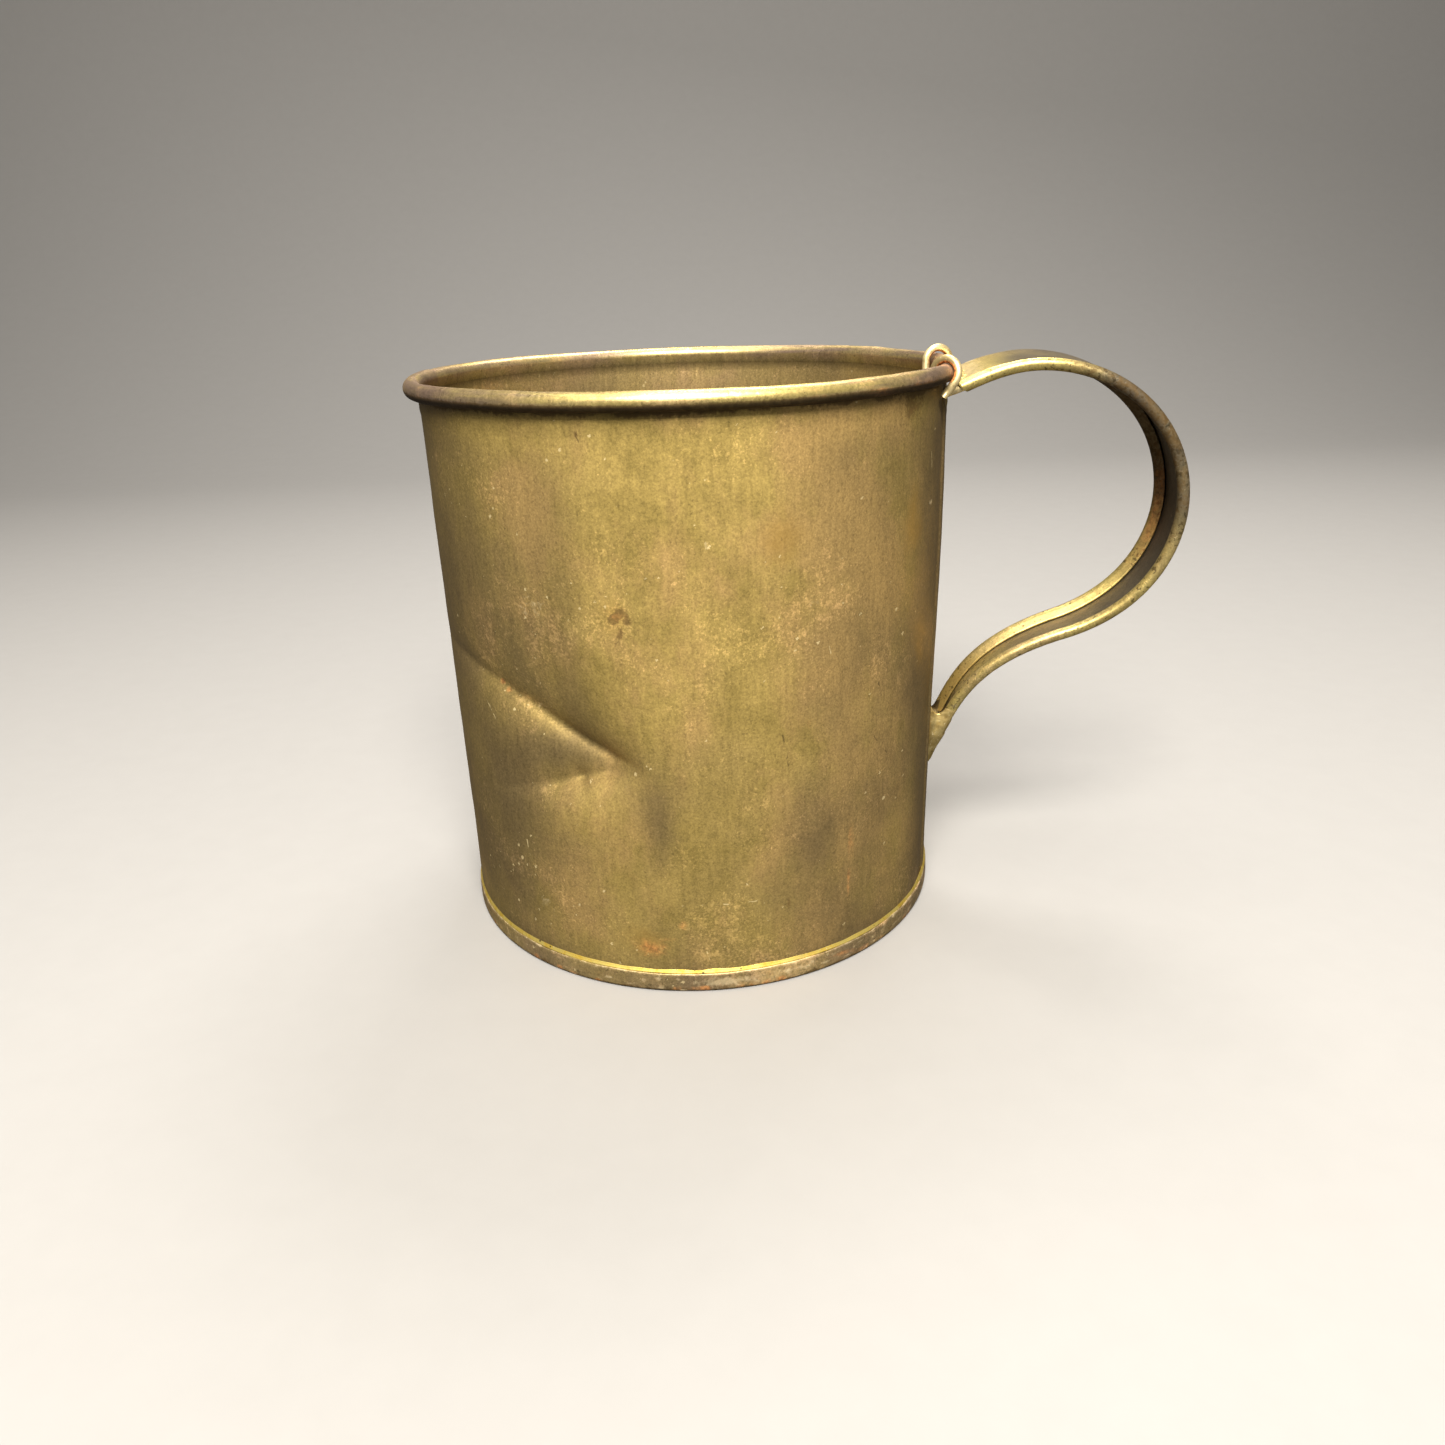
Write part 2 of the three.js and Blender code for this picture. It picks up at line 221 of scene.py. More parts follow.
class Shader:
    """A material's node tree, built with short calls. Each call returns an output socket."""

    def __init__(self, name):
        self.material = bpy.data.materials.new(name)
        self.material.use_nodes = True
        self.tree = self.material.node_tree
        self.tree.nodes.clear()
        self.surface = self.node("BsdfPrincipled", {})
        self.node("OutputMaterial", {"Surface": self.surface.outputs[0]})
        self.place = self.node("TexCoord", {}).outputs["Object"]

    def join(self, value, socket):
        """A link from a socket, or a plain value set on the input."""
        if isinstance(value, bpy.types.NodeSocket):
            self.tree.links.new(value, socket)
        elif socket.type == "RGBA":
            socket.default_value = (*value, 1)
        else:
            socket.default_value = value

    def node(self, kind, inputs, **settings):
        """A new node. Its inputs are found by name or number, and take sockets or plain values."""
        node = self.tree.nodes.new("ShaderNode" + kind)
        for name, value in settings.items():
            setattr(node, name, value)
        for key, value in inputs.items():
            self.join(value, node.inputs[key])
        return node

    def math(self, kind, a, b, clamp=False):
        return self.node("Math", {0: a, 1: b}, operation=kind, use_clamp=clamp).outputs[0]

    def add(self, a, b, clamp=False):
        return self.math("ADD", a, b, clamp)

    def times(self, a, b, clamp=False):
        return self.math("MULTIPLY", a, b, clamp)

    def centred(self, value, size):
        """A value from 0 to 1, moved to lie evenly about zero and scaled."""
        return self.times(self.math("SUBTRACT", value, 0.5), size)

    def vector(self, kind, a, b, out=0):
        second = "Scale" if kind == "SCALE" else 1
        return self.node("VectorMath", {0: a, second: b}, operation=kind).outputs[out]

    def stretched(self, scale, turn=(0, 0, 0)):
        """The object's coordinates, turned and then scaled along each axis."""
        inputs = {"Vector": self.place, "Rotation": turn, "Scale": scale}
        return self.node("Mapping", inputs).outputs[0]

    def noise(self, scale, detail=4.0, rough=0.55, warp=0.0, where=None):
        where = self.place if where is None else where
        inputs = {"Vector": where, "Scale": scale, "Detail": detail, "Roughness": rough, "Distortion": warp}
        return self.node("TexNoise", inputs).outputs[0]

    def cells(self, scale, where=None):
        """The distance to the nearest of many scattered points."""
        where = self.place if where is None else where
        return self.node("TexVoronoi", {"Vector": where, "Scale": scale}).outputs["Distance"]

    def field(self, name):
        return self.node("Attribute", {}, attribute_name=name).outputs["Fac"]

    def step(self, value, low, high):
        """An eased step from 0 at low to 1 at high. High may be below low."""
        flipped = float(high < low)
        inputs = {"Value": value, "From Min": min(low, high), "From Max": max(low, high)}
        inputs.update({"To Min": flipped, "To Max": 1.0 - flipped})
        return self.node("MapRange", inputs, interpolation_type="SMOOTHSTEP").outputs["Result"]

    def mix(self, share, a, b, blend="MIX"):
        """A colour between a and b, or a multiplied by b."""
        return self.node("Mix", {0: share, 6: a, 7: b}, data_type="RGBA", blend_type=blend).outputs[2]

    def layer(self, colour, share, strength, over):
        """A colour with another one over it, where share says and at most this strong."""
        return self.mix(self.times(share, strength), colour, over)

    def blend(self, share, a, b):
        """A number between a and b."""
        return self.node("Mix", {0: share, 2: a, 3: b}).outputs[0]

    def relief(self, height, strength, depth, before=None):
        """A bump from a height field, in millimetres of depth, on top of an earlier one."""
        inputs = {"Height": height, "Strength": strength, "Distance": depth * MM}
        if before is not None:
            inputs["Normal"] = before
        return self.node("Bump", inputs).outputs[0]

    def specks(self, scale, crowd, low, high, detail=2.0):
        """Irregular specks where fine noise is high, more of them where crowd is high."""
        return self.step(self.add(self.noise(scale, detail, 0.62), crowd), low, high)

    def unrolled(self, wander):
        """The place on the unrolled wall in millimetres, round from the handle and up, wandering a little."""
        height = self.node("SeparateXYZ", {0: self.place}).outputs[2]
        flat = self.node("CombineXYZ", {0: self.field("around"), 1: self.times(height, 1 / MM)}).outputs[0]
        return self.vector("ADD", flat, self.centred(self.noise(260, 3, 0.6), wander))

    def scratches(self, lines, width):
        """Thin scratches on the wall, broken along the way."""
        place = self.unrolled(1.6)
        total = 0.0
        for a, b in lines:
            start = (math.radians(a[0]) * WALL, a[1], 0)
            run = (math.radians(b[0] - a[0]) * WALL, b[1] - a[1], 0)
            along = self.vector("SUBTRACT", place, start)
            share = self.vector("DOT_PRODUCT", along, run, "Value")
            share = self.times(share, 1 / (run[0] ** 2 + run[1] ** 2), clamp=True)
            gap = self.vector("DISTANCE", along, self.vector("SCALE", run, share), "Value")
            total = self.math("MAXIMUM", total, self.step(gap, width, width * 0.35))
        return self.times(total, self.step(self.noise(500, 2, 0.6), 0.40, 0.52))

    def finish(self, colour, rough, metal, normal):
        looks = {"Base Color": colour, "Roughness": rough, "Metallic": metal, "Normal": normal}
        looks["Specular Tint"] = GRAZING_TINT
        for name, value in looks.items():
            self.join(value, self.surface.inputs[name])
        return self.material


# Scratches on the wall, each from one (angle, height) to another.
DARK_SCRATCHES = [
    ((-43.2, 44.3), (-37.0, 38.5)),
    ((-64.7, 47.7), (-63.1, 40.6)),
    ((-40.6, 52.3), (-39.0, 49.3)),
    ((-101.8, 96.2), (-101.2, 94.9)),
    ((70.0, 70.0), (84.0, 58.0)),
    ((140.0, 40.0), (152.0, 46.0)),
]
PALE_SCRATCHES = [
    ((-135.4, 51.0), (-130.8, 46.7)),
    ((-89.3, 17.6), (-70.0, 17.3)),
    ((-54.4, 63.2), (-54.0, 60.0)),
    ((-123.5, 25.4), (-122.8, 21.0)),
    ((-81.9, 8.0), (-81.3, 6.6)),
    ((-22.0, 90.0), (-20.5, 84.0)),
    ((100.0, 80.0), (108.0, 52.0)),
    ((45.0, 64.0), (58.0, 66.0)),
]


def patina(s, gold, olive, plum, cloud):
    """Clouds of gold, olive and tan, turning to plum where the patina is thick."""
    wide = s.noise(38, 4, 0.55, 0.3)
    hue = s.noise(70, 6, 0.62, 0.1, s.stretched((1, 1, 0.7), (0.4, 0.2, 1.1)))
    hue = s.add(hue, s.times(s.field("tan"), 0.16))
    tan = tuple(0.5 * (a + b) * c for a, b, c in zip(gold, plum, (1.50, 1.36, 1.50)))
    colour = s.mix(s.step(cloud, 0.34, 0.66), olive, gold)
    colour = s.layer(colour, s.step(hue, 0.45, 0.70), 0.75, tan)
    dull = s.add(s.field("dull"), s.centred(wide, 1.1))
    dull = s.add(dull, s.centred(cloud, 0.7), clamp=True)
    return s.layer(colour, s.step(dull, 0.1, 1.05), 0.92, plum)


def grained(s, colour, cloud, wiped, fine, grit):
    """The colour with upright wiping marks and fine grain in it, and ochre clouds over it."""
    shade = s.add(s.times(wiped, 0.40), s.times(fine, 0.65))
    shade = s.add(shade, s.times(grit, 1.35))
    colour = s.vector("SCALE", colour, s.math("SUBTRACT", shade, 0.20))
    warm = s.step(s.add(s.field("ochre"), s.centred(cloud, 1.6)), 0.25, 1.0)
    return s.layer(colour, warm, 0.55, OCHRE)


def freckled(s, colour, freckles, pitting):
    """Small pale flecks, thicker in some areas, a few bright sparks and a few dark pits."""
    crowd = s.centred(s.noise(60, 5, 0.65), freckles)
    crowd = s.add(crowd, s.times(s.field("pale"), 0.16))
    lighter = s.mix(1.0, colour, (1.75, 1.68, 1.85), "MULTIPLY")
    smear = s.specks(480, s.times(crowd, 1.2), 0.700, 0.780, 5.0)
    fleck = s.specks(1050, crowd, 0.700, 0.760, 3.0)
    mote = s.specks(2300, s.times(crowd, 1.1), 0.655, 0.720)
    for mark, strength in ((smear, 0.40), (fleck, 0.70), (mote, 0.50)):
        colour = s.layer(colour, mark, strength, lighter)
    spark_crowd = s.add(s.noise(90, 4, 0.6), s.times(s.field("pale"), 0.30))
    spark_size = s.times(s.step(spark_crowd, 0.44, 0.74), 0.15)
    ragged = s.vector("ADD", s.place, s.times(s.noise(2600, 2, 0.6), 0.0011))
    spark = s.math("LESS_THAN", s.cells(430, ragged), spark_size)
    colour = s.layer(colour, spark, 0.75 * min(freckles, 0.75), PALE)
    pit_crowd = s.centred(s.noise(110, 4, 0.6), 0.25)
    pit_crowd = s.add(pit_crowd, s.times(s.field("stain_and_shade"), 0.22))
    return s.layer(colour, s.specks(1250, pit_crowd, 0.68, 0.73), pitting, DARK)


def weathered(s, colour, fine):
    """Stains, rust, worn patches, painted highlights and painted shade, with edges broken up by noise. Also
    the stain, which holds some painted shade, and the rust.
    """
    rough_edge = s.centred(s.noise(620, 5, 0.7, 0.5), 1.5)
    # The stain field holds real stains and, under the rim's roll, painted shade.
    stain_and_shade = s.step(s.add(s.field("stain_and_shade"), rough_edge), 0.42, 0.78)
    colour = s.layer(colour, stain_and_shade, 0.78, BROWN)
    rust = s.step(s.add(s.field("rust"), s.times(rough_edge, 0.6)), 0.34, 1.05)
    colour = s.layer(colour, rust, 0.75, s.mix(s.step(fine, 0.38, 0.62), RUST_DARK, RUST))
    # The pale field holds wear and a few painted highlights.
    rubbed_and_sheen = s.step(s.add(s.field("pale"), rough_edge), 0.55, 0.95)
    colour = s.layer(colour, rubbed_and_sheen, 0.45, CREAM)
    # Painted shade: darker under the rim's roll, in cracks and hollows, and at the foot.
    painted_shade = s.field("painted_shade")
    painted_shade = s.add(painted_shade, s.times(s.times(painted_shade, rough_edge), 0.6), clamp=True)
    return s.layer(colour, painted_shade, 0.88, PAINTED_SHADE_COLOUR), stain_and_shade, rust


def aged_tin(name, tones, freckles, pitting, rough, grain, metal, scratched=False):
    """Old tinplate. Tones are its gold, olive and plum, and grain is its relief in millimetres.

    It reads the fields of rust, stains with some painted shade, pale wear with some painted highlights, dull,
    tan and ochre, and the field of painted shade, which say where each lies on the piece.
    """
    s = Shader(name)
    cloud = s.noise(95, 7, 0.66, 0.15)
    wiped = s.noise(1300, 4, 0.62, 0.0, s.stretched((1, 1, 0.12)))
    fine = s.noise(1300, 4, 0.7)
    grit = s.noise(2700, 3, 0.75)
    colour = patina(s, *tones, cloud)
    colour = grained(s, colour, cloud, wiped, fine, grit)
    colour = freckled(s, colour, freckles, pitting)
    if scratched:
        colour = s.layer(colour, s.scratches(DARK_SCRATCHES, 0.16), 0.6, DARK)
        colour = s.layer(colour, s.scratches(PALE_SCRATCHES, 0.15), 0.6, PALE)
    colour, stain_and_shade, rust = weathered(s, colour, fine)
    rough = s.blend(s.step(cloud, 0.3, 0.7), rough + 0.08, rough)
    rough = s.add(rough, s.centred(wiped, 0.20))
    rough = s.add(rough, s.times(s.add(stain_and_shade, rust), 0.22), clamp=True)
    metal = s.blend(s.add(rust, s.times(stain_and_shade, 0.5), clamp=True), metal, 0.25)
    normal = s.relief(s.noise(260, 4, 0.6), 0.4, 0.04)
    normal = s.relief(wiped, 0.40, grain, normal)
    normal = s.relief(s.add(fine, grit), 0.40, grain, normal)
    return s.finish(colour, rough, metal, normal)


def bright_solder(name, dark, light, relief):
    """Lead-tin solder: pale, lumpy and pitted, with yellowed film and painted shade in the hollows."""
    s = Shader(name)
    lumps = s.noise(520, 4, 0.6, 0.6)
    fine = s.noise(1900, 3, 0.65)
    colour = s.mix(s.step(lumps, 0.3, 0.66), dark, light)
    colour = s.mix(s.step(fine, 0.62, 0.78), colour, (1.0, 0.90, 0.62))
    pit_size = s.times(s.step(s.noise(300, 3), 0.45, 0.75), 0.34)
    colour = s.layer(colour, s.math("LESS_THAN", s.cells(1000), pit_size), 0.8, DARK)
    uneven = s.centred(lumps, 1.0)
    grime_and_shade = s.step(s.add(s.field("stain_and_shade"), uneven), 0.3, 0.8)
    colour = s.layer(colour, grime_and_shade, 0.8, BROWN)
    rust = s.step(s.add(s.field("rust"), uneven), 0.35, 0.75)
    colour = s.layer(colour, rust, 0.8, RUST)
    # Painted shade in the hollows, where the piece gives it.
    colour = s.layer(colour, s.field("painted_shade"), 0.85, SOLDER_SHADE_COLOUR)
    rough = s.blend(s.step(lumps, 0.3, 0.7), 0.58, 0.42)
    rough = s.add(rough, s.times(grime_and_shade, 0.25), clamp=True)
    metal = s.blend(s.add(grime_and_shade, rust, clamp=True), 0.9, 0.3)
    normal = s.relief(lumps, 0.7, relief)
    normal = s.relief(fine, 0.5, relief * 0.4, normal)
    return s.finish(colour, rough, metal, normal)


def wire_steel(name):
    """Tinned iron wire: cream where the tin is whole, orange and brown where it has rusted through."""
    s = Shader(name)
    patch = s.noise(420, 4, 0.6, 0.5)
    fine = s.noise(2400, 3, 0.6)
    colour = s.mix(s.step(patch, 0.35, 0.62), (0.44, 0.335, 0.155), (0.72, 0.585, 0.31))
    colour = s.mix(s.step(fine, 0.58, 0.8), colour, (0.80, 0.68, 0.44))
    rust = s.step(s.add(s.field("rust"), s.centred(patch, 1.0)), 0.38, 0.72)
    rust_tone = s.mix(s.step(fine, 0.4, 0.6), RUST_DARK, (0.62, 0.21, 0.045))
    colour = s.layer(colour, rust, 0.9, rust_tone)
    normal = s.relief(patch, 0.4, 0.06)
    normal = s.relief(fine, 0.4, 0.03, normal)
    return s.finish(colour, s.blend(rust, 0.42, 0.74), s.blend(rust, 0.7, 0.2), normal)


def paper(name, colour):
    s = Shader(name)
    grain = s.noise(140, 4, 0.6)
    tint = tuple(min(1.0, c * 1.03) for c in colour)
    shade = tuple(c * 0.97 for c in colour)
    return s.finish(s.mix(grain, shade, tint), 0.9, 0.0, s.relief(grain, 0.05, 0.1))


WALL_TONES = ((0.428, 0.309, 0.096), (0.268, 0.196, 0.057), (0.134, 0.096, 0.046))
INNER_TONES = ((0.36, 0.262, 0.100), (0.26, 0.190, 0.072), (0.14, 0.104, 0.062))
RIM_TONES = ((0.60, 0.475, 0.17), (0.40, 0.305, 0.11), (0.265, 0.186, 0.146))
PAN_TONES = ((0.38, 0.28, 0.115), (0.26, 0.19, 0.075), (0.14, 0.104, 0.066))
HANDLE_TONES = ((0.56, 0.45, 0.155), (0.36, 0.275, 0.098), (0.110, 0.095, 0.080))

# The numbers of a tin are its freckles, pitting, roughness, grain and metal.
wall_tin = aged_tin("tinplate_wall_outside", WALL_TONES, 0.75, 0.30, 0.50, 0.020, 0.62, scratched=True)
inner_tin = aged_tin("tinplate_wall_inside", INNER_TONES, 0.4, 0.3, 0.42, 0.012, 0.65)
rim_tin = aged_tin("tinplate_rim", RIM_TONES, 0.8, 0.45, 0.36, 0.012, 0.8)
pan_tin = aged_tin("tinplate_bottom", PAN_TONES, 1.0, 0.5, 0.46, 0.018, 0.62)
handle_tin = aged_tin("tinplate_handle", HANDLE_TONES, 0.6, 0.70, 0.34, 0.012, 0.78)
seam_solder = bright_solder("solder", (0.30, 0.215, 0.075), (0.60, 0.47, 0.20), 0.10)
# The flange's solder is pale, and brightened further into a painted highlight line round the flange.
flange_solder_highlit = bright_solder("solder_flange_highlit", (0.62, 0.43, 0.07), (0.94, 0.74, 0.21), 0.05)
wire_metal = wire_steel("wire")


# ---- The cup's wall and rolled rim ----

# Each crease as its (angle, height) points, the depth at each, how wide its upper and lower flanks are, and
# how round its fold is. The short one runs back under the long one, and a nick crosses it.
LONG_CREASE = (
    [(-159, 56.9), (-143, 55.6), (-130, 53.6), (-119, 50.2), (-110, 46.2), (-101.0, 43.0), (-91.8, 42.3)],
    [0.1, 1.2, 2.0, 2.8, 3.3, 2.8, 0.0],
    5.6,
    3.0,
    0.20,
)
SHORT_CREASE = (
    [(-92.6, 41.6), (-102.6, 40.4), (-109, 38.9), (-115, 37.4), (-121, 36.2), (-134, 33.2)],
    [0.0, 2.6, 3.1, 2.4, 1.2, 0.0],
    2.0,
    9.0,
    0.30,
)
NICK = ([(-112.5, 41.6), (-109, 38.6), (-106.2, 35.6)], [0.1, 0.5, 0.1], 1.2, 1.6, 0.15)

# Upright ridges and flats left by handling: how far they stand out, angle, half width, and the heights over
# which they rise and fall away.
RIDGES = [
    (0.26, -103.5, 6.5, (40, 52), (97, 84)),
    (-0.16, -112.0, 6.0, (44, 60), (97, 84)),
    (0.16, -53.5, 5.0, (14, 30), (78, 60)),
    (-0.12, -61.0, 5.0, (14, 30), (78, 60)),
    (0.55, -8.0, 26.0, (20, 75), (99.4, 92.0)),  # The mouth is a little out of round, towards the handle.
]
# Shallow dents on the far side: depth, angle, half width, height and half height.
HOLLOWS = [(0.5, 128.0, 11.0, 62.0, 12.0), (0.35, 62.0, 9.0, 30.0, 9.0)]

# The same, for where the patina is thicker (or thinner, below zero). The streaks are painted shade along the
# ridges above; the patches at -107 and -120 are painted shade above the long crease, the one at -90.5 painted
# shade beside the dent's end, and the lighter one at -105 a painted highlight below the short crease.
SHADE_STREAKS = [(0.24, -107.0, 5.5, (40, 62), (98, 74)), (0.22, -58.0, 6.0, (8, 26), (74, 60))]
PATINA_AND_SHADE_PATCHES = [
    (0.26, -107.0, 7.0, 52.0, 6.0),
    (0.16, -120.0, 9.0, 62.0, 8.0),
    (0.18, -76.0, 6.0, 57.0, 9.0),
    (0.44, -90.5, 3.6, 33.0, 8.0),
    (0.42, -112.0, 11.0, 43.8, 3.6),
    (-0.16, -105.0, 9.0, 34.5, 4.0),
    (0.30, -128.0, 8.0, 36.0, 7.0),
    (0.14, -66.0, 14.0, 5.0, 4.0),
    (-0.48, -30.0, 14.0, 16.0, 15.0),
    (-0.10, -86.0, 16.0, 90.0, 7.0),
]

# Marks on the outside of the wall: angle, height, half width and half height in mm, and strength.
RUST_MARKS = [
    (-93.6, 8.6, 3.6, 2.4, 0.95),
    (-90.0, 10.6, 2.6, 1.0, 0.60),
    (-86.7, 13.5, 1.2, 1.6, 0.75),
    (-48.0, 24.0, 0.85, 6.0, 0.85),
    (-48.6, 16.0, 0.7, 4.0, 0.75),
    (-58.7, 48.7, 0.6, 1.4, 0.7),
    (-129.5, 53.6, 0.8, 0.6, 1.5),
    (-127.6, 52.4, 0.9, 0.7, 1.0),
    (-122.5, 51.6, 4.6, 1.5, 0.55),
    (-96.0, 68.7, 2.0, 1.3, 0.60),
    (-31.0, 96.0, 2.6, 1.4, 0.5),
    (95.0, 20.0, 3.0, 4.0, 0.8),
    (150.0, 8.0, 5.0, 3.0, 0.75),
    (28.0, 12.0, 2.5, 4.5, 0.7),
]
STAIN_MARKS = [
    (-95.7, 69.3, 1.4, 1.2, 1.05),
    (-97.0, 68.4, 1.2, 1.0, 1.02),
    (-94.3, 68.0, 1.2, 1.0, 1.02),
    (-95.8, 65.9, 0.6, 1.2, 1.12),
    (-96.8, 64.3, 0.5, 0.8, 0.95),
    (-63.6, 15.6, 1.1, 1.1, 0.95),
    (-31.0, 96.5, 5.0, 3.0, 0.75),
    (-60.0, 38.0, 1.0, 1.2, 0.6),
    (-101.5, 96.0, 0.6, 1.2, 0.8),
    (120.0, 80.0, 4.0, 6.0, 0.6),
    (75.0, 52.0, 3.0, 3.0, 0.6),
]
OCHRE_MARKS = [
    (-64.0, 80.0, 5.0, 5.0, 0.85),
    (-30.0, 78.0, 4.5, 9.0, 0.80),
    (-24.0, 58.0, 3.5, 9.0, 0.60),
    (-94.0, 10.0, 5.5, 3.5, 0.75),
    (-48.0, 22.0, 2.5, 9.0, 0.50),
    (-97.0, 68.5, 3.5, 4.0, 0.60),
    (110.0, 66.0, 9.0, 12.0, 0.60),
    (165.0, 30.0, 8.0, 9.0, 0.60),
]
PALE_MARKS = [
    (-78.5, 79.5, 0.8, 0.7, 1.3),
    (-21.0, 80.0, 0.8, 0.9, 1.3),
    (-144.6, 27.2, 0.8, 0.5, 1.2),
    (-115.0, 68.5, 4.0, 5.0, 0.62),
    (-67.0, 90.5, 7.0, 2.0, 0.45),
    (-60.0, 68.0, 9.0, 9.0, 0.42),
    (-34.0, 63.0, 6.0, 9.0, 0.40),
    (-118.0, 14.0, 16.0, 9.0, 0.46),
    (-84.0, 91.0, 14.0, 4.5, 0.40),
    (-36.0, 33.0, 7.0, 8.0, 0.34),
    (-28.0, 8.0, 9.0, 5.0, 0.34),
    (-119.5, 51.0, 4.0, 1.6, 0.60),
    (-81.9, 7.2, 0.4, 1.0, 0.9),
]
# The same, on the inside of the wall.
INNER_RUST_MARKS = [
    (100, 60, 2, 3, 0.8),
    (60, 40, 3, 5, 0.7),
    (-100, 30, 3, 5, 0.7),
    (160, 75, 2, 2, 0.8),
    (158, 96, 9, 3, 0.7),
]
# Two stains inside, under the rim. They add up where they overlap.
INNER_STAIN_MARKS = [(141, 96.4, 0.6, 0.9, 1.0), (143, 94.6, 0.5, 1.0, 0.9)]


def crease(angle, z, line, depths, above, below, edge):
    """How far a V-shaped crease along a line pushes the wall in."""
    across = np.radians(angle) * WALL
    best = np.full(np.broadcast(angle, z).shape, 1e9)
    signed = best.copy()
    depth = np.zeros_like(best)
    spots = [(math.radians(a) * WALL, h) for a, h in line]
    for (p, q), (d0, d1) in zip(zip(spots, spots[1:]), zip(depths, depths[1:])):
        run = (q[0] - p[0], q[1] - p[1])
        share = ((across - p[0]) * run[0] + (z - p[1]) * run[1]) / math.hypot(*run) ** 2
        share = np.clip(share, 0, 1)
        dx = across - p[0] - share * run[0]
        dz = z - p[1] - share * run[1]
        gap = np.hypot(dx, dz)
        side = np.where(run[0] * dz - run[1] * dx > 0, 1.0, -1.0)
        nearer = gap < best
        best = np.where(nearer, gap, best)
        signed = np.where(nearer, gap * side, signed)
        depth = np.where(nearer, d0 + (d1 - d0) * share, depth)
    eased = np.sqrt(best**2 + edge**2) - edge
    return depth * np.exp(-eased / np.where(signed > 0, above, below))


def streaks(angle, z, places):
    total = 0.0
    for size, a, wide, rise, fall in places:
        total = total + size * bump(angle, a, wide) * smooth(*rise, z) * smooth(*fall, z)
    return total


def patches(angle, z, places):
    return sum(size * bump(angle, a, wide) * bump(z, h, tall) for size, a, wide, h, tall in places)


def marks(angle, z, places):
    """The strongest of several soft round marks at each place."""
    total = np.zeros(np.broadcast(angle, z).shape)
    for a, h, wide, tall, strength in places:
        away = (np.radians(angle - a) * WALL / wide) ** 2 + ((z - h) / tall) ** 2
        total = np.maximum(total, strength * np.exp(-away))
    return total


def dents(angle, z):
    """How far the wall stands out from a true cylinder, in millimetres."""
    across = np.radians(angle) * WALL
    out = -sum(crease(angle, z, *fold) for fold in (LONG_CREASE, SHORT_CREASE, NICK))
    out += streaks(angle, z, RIDGES) - patches(angle, z, HOLLOWS)
    swell = 0.055 * waves(across, z * 0.55, 34, 3) + 0.020 * waves(across, z, 13, 8)
    return out + swell * smooth(3, 14, z) * smooth(99, 90, z)


def jog(angle):
    """How far the sheet has stepped in to pass under the lap, from 0 to 1."""
    under = smooth(LAP_START - 9, LAP_START - 0.4, angle)
    return np.where(angle < LAP_START, under, 0.0)


def dullness(angle, z):
    """Where the patina is thick and plum-grey rather than gold, away from the front. The gold front, stronger
    higher up, is partly wear and partly a painted sheen, and the plum sides partly painted shade.
    """
    front = bump(angle, -80.0, 42.0) * (0.62 + 0.38 * smooth(10, 70, z))
    total = 0.86 - 0.80 * front + 0.30 * smooth(-34, -14, angle) * smooth(20, -2, angle)
    total += streaks(angle, z, SHADE_STREAKS) + patches(angle, z, PATINA_AND_SHADE_PATCHES)
    far = (angle - 95.0 + 180.0) % 360.0 - 180.0
    total -= 0.52 * bump(far, 0.0, 55.0)
    # Darker right under the roll and near the foot, and lighter a little below the roll, a painted highlight
    # that lifts the roll's cast shadow.
    return total + 0.20 * bump(z, 99.0, 1.0) + 0.22 * bump(z, 3.0, 2.5) - 0.26 * bump(z, 96.4, 2.4)


def tan_tone(angle, z):
    """Where the gold turns tan: on the right towards the handle, and a little below the rim."""
    total = 0.05 + 0.70 * smooth(-78.0, -46.0, angle) * smooth(60.0, 5.0, angle)
    return total + patches(angle, z, [(0.35, -46.0, 13.0, 60.0, 22.0), (0.30, -80.0, 26.0, 92.0, 7.0)])


def wall_section():
    """The sheet's section as rows of (radius, height, part): 0 outside, 1 the roll, 2 inside."""

    def by_creases(z):
        return smooth(26, 32, z) * smooth(66, 60, z)

    rise = spaced(WALL_FOOT, BEAD_Z - 0.75, lambda z: 0.95 - 0.42 * by_creases(z))
    fall = spaced(WALL_FOOT, BEAD_Z - 1.7, lambda z: 1.9 - 0.8 * by_creases(z))[::-1]
    hidden = arc(BEAD_X, BEAD_Z, BEAD_INSIDE, ROLL_FROM_INSIDE, ROLL_END, 14)
    shown = arc(BEAD_X, BEAD_Z, BEAD_RADIUS, ROLL_END, ROLL_FROM, 30)
    cut_edge = arc(BEAD_X, BEAD_Z, BEAD_RADIUS - 0.12, ROLL_END - 2, ROLL_END - 2, 0)
    roll = np.concatenate([hidden, cut_edge, shown])
    outer = np.stack([np.full_like(rise, WALL), rise], -1)
    inner = np.stack([np.full_like(fall, WALL - SHEET), fall], -1)
    part = np.repeat([0, 1, 2], [len(outer), len(roll), len(inner)])
    return np.column_stack([np.concatenate([outer, roll, inner]), part])


def wall_angles():
    """Angles round the wall, closer by the creases, with a pair at each edge of the lap."""

    def spacing(angle):
        step = 0.95 - 0.42 * smooth(-156, -150, angle) * smooth(-84, -90, angle)
        return np.degrees(step / WALL)

    edges = [LAP_START - 0.05, LAP_START + 0.05, LAP_END - 0.05, LAP_END + 0.05]
    return np.sort(np.append(spaced(-180, 180, spacing)[:-1], edges))


def rim_lift(angle):
    """How far the hand-dressed rim wanders up and down."""
    return 0.10 * waves_along(np.radians(angle) * BEAD_X, 42, 21)


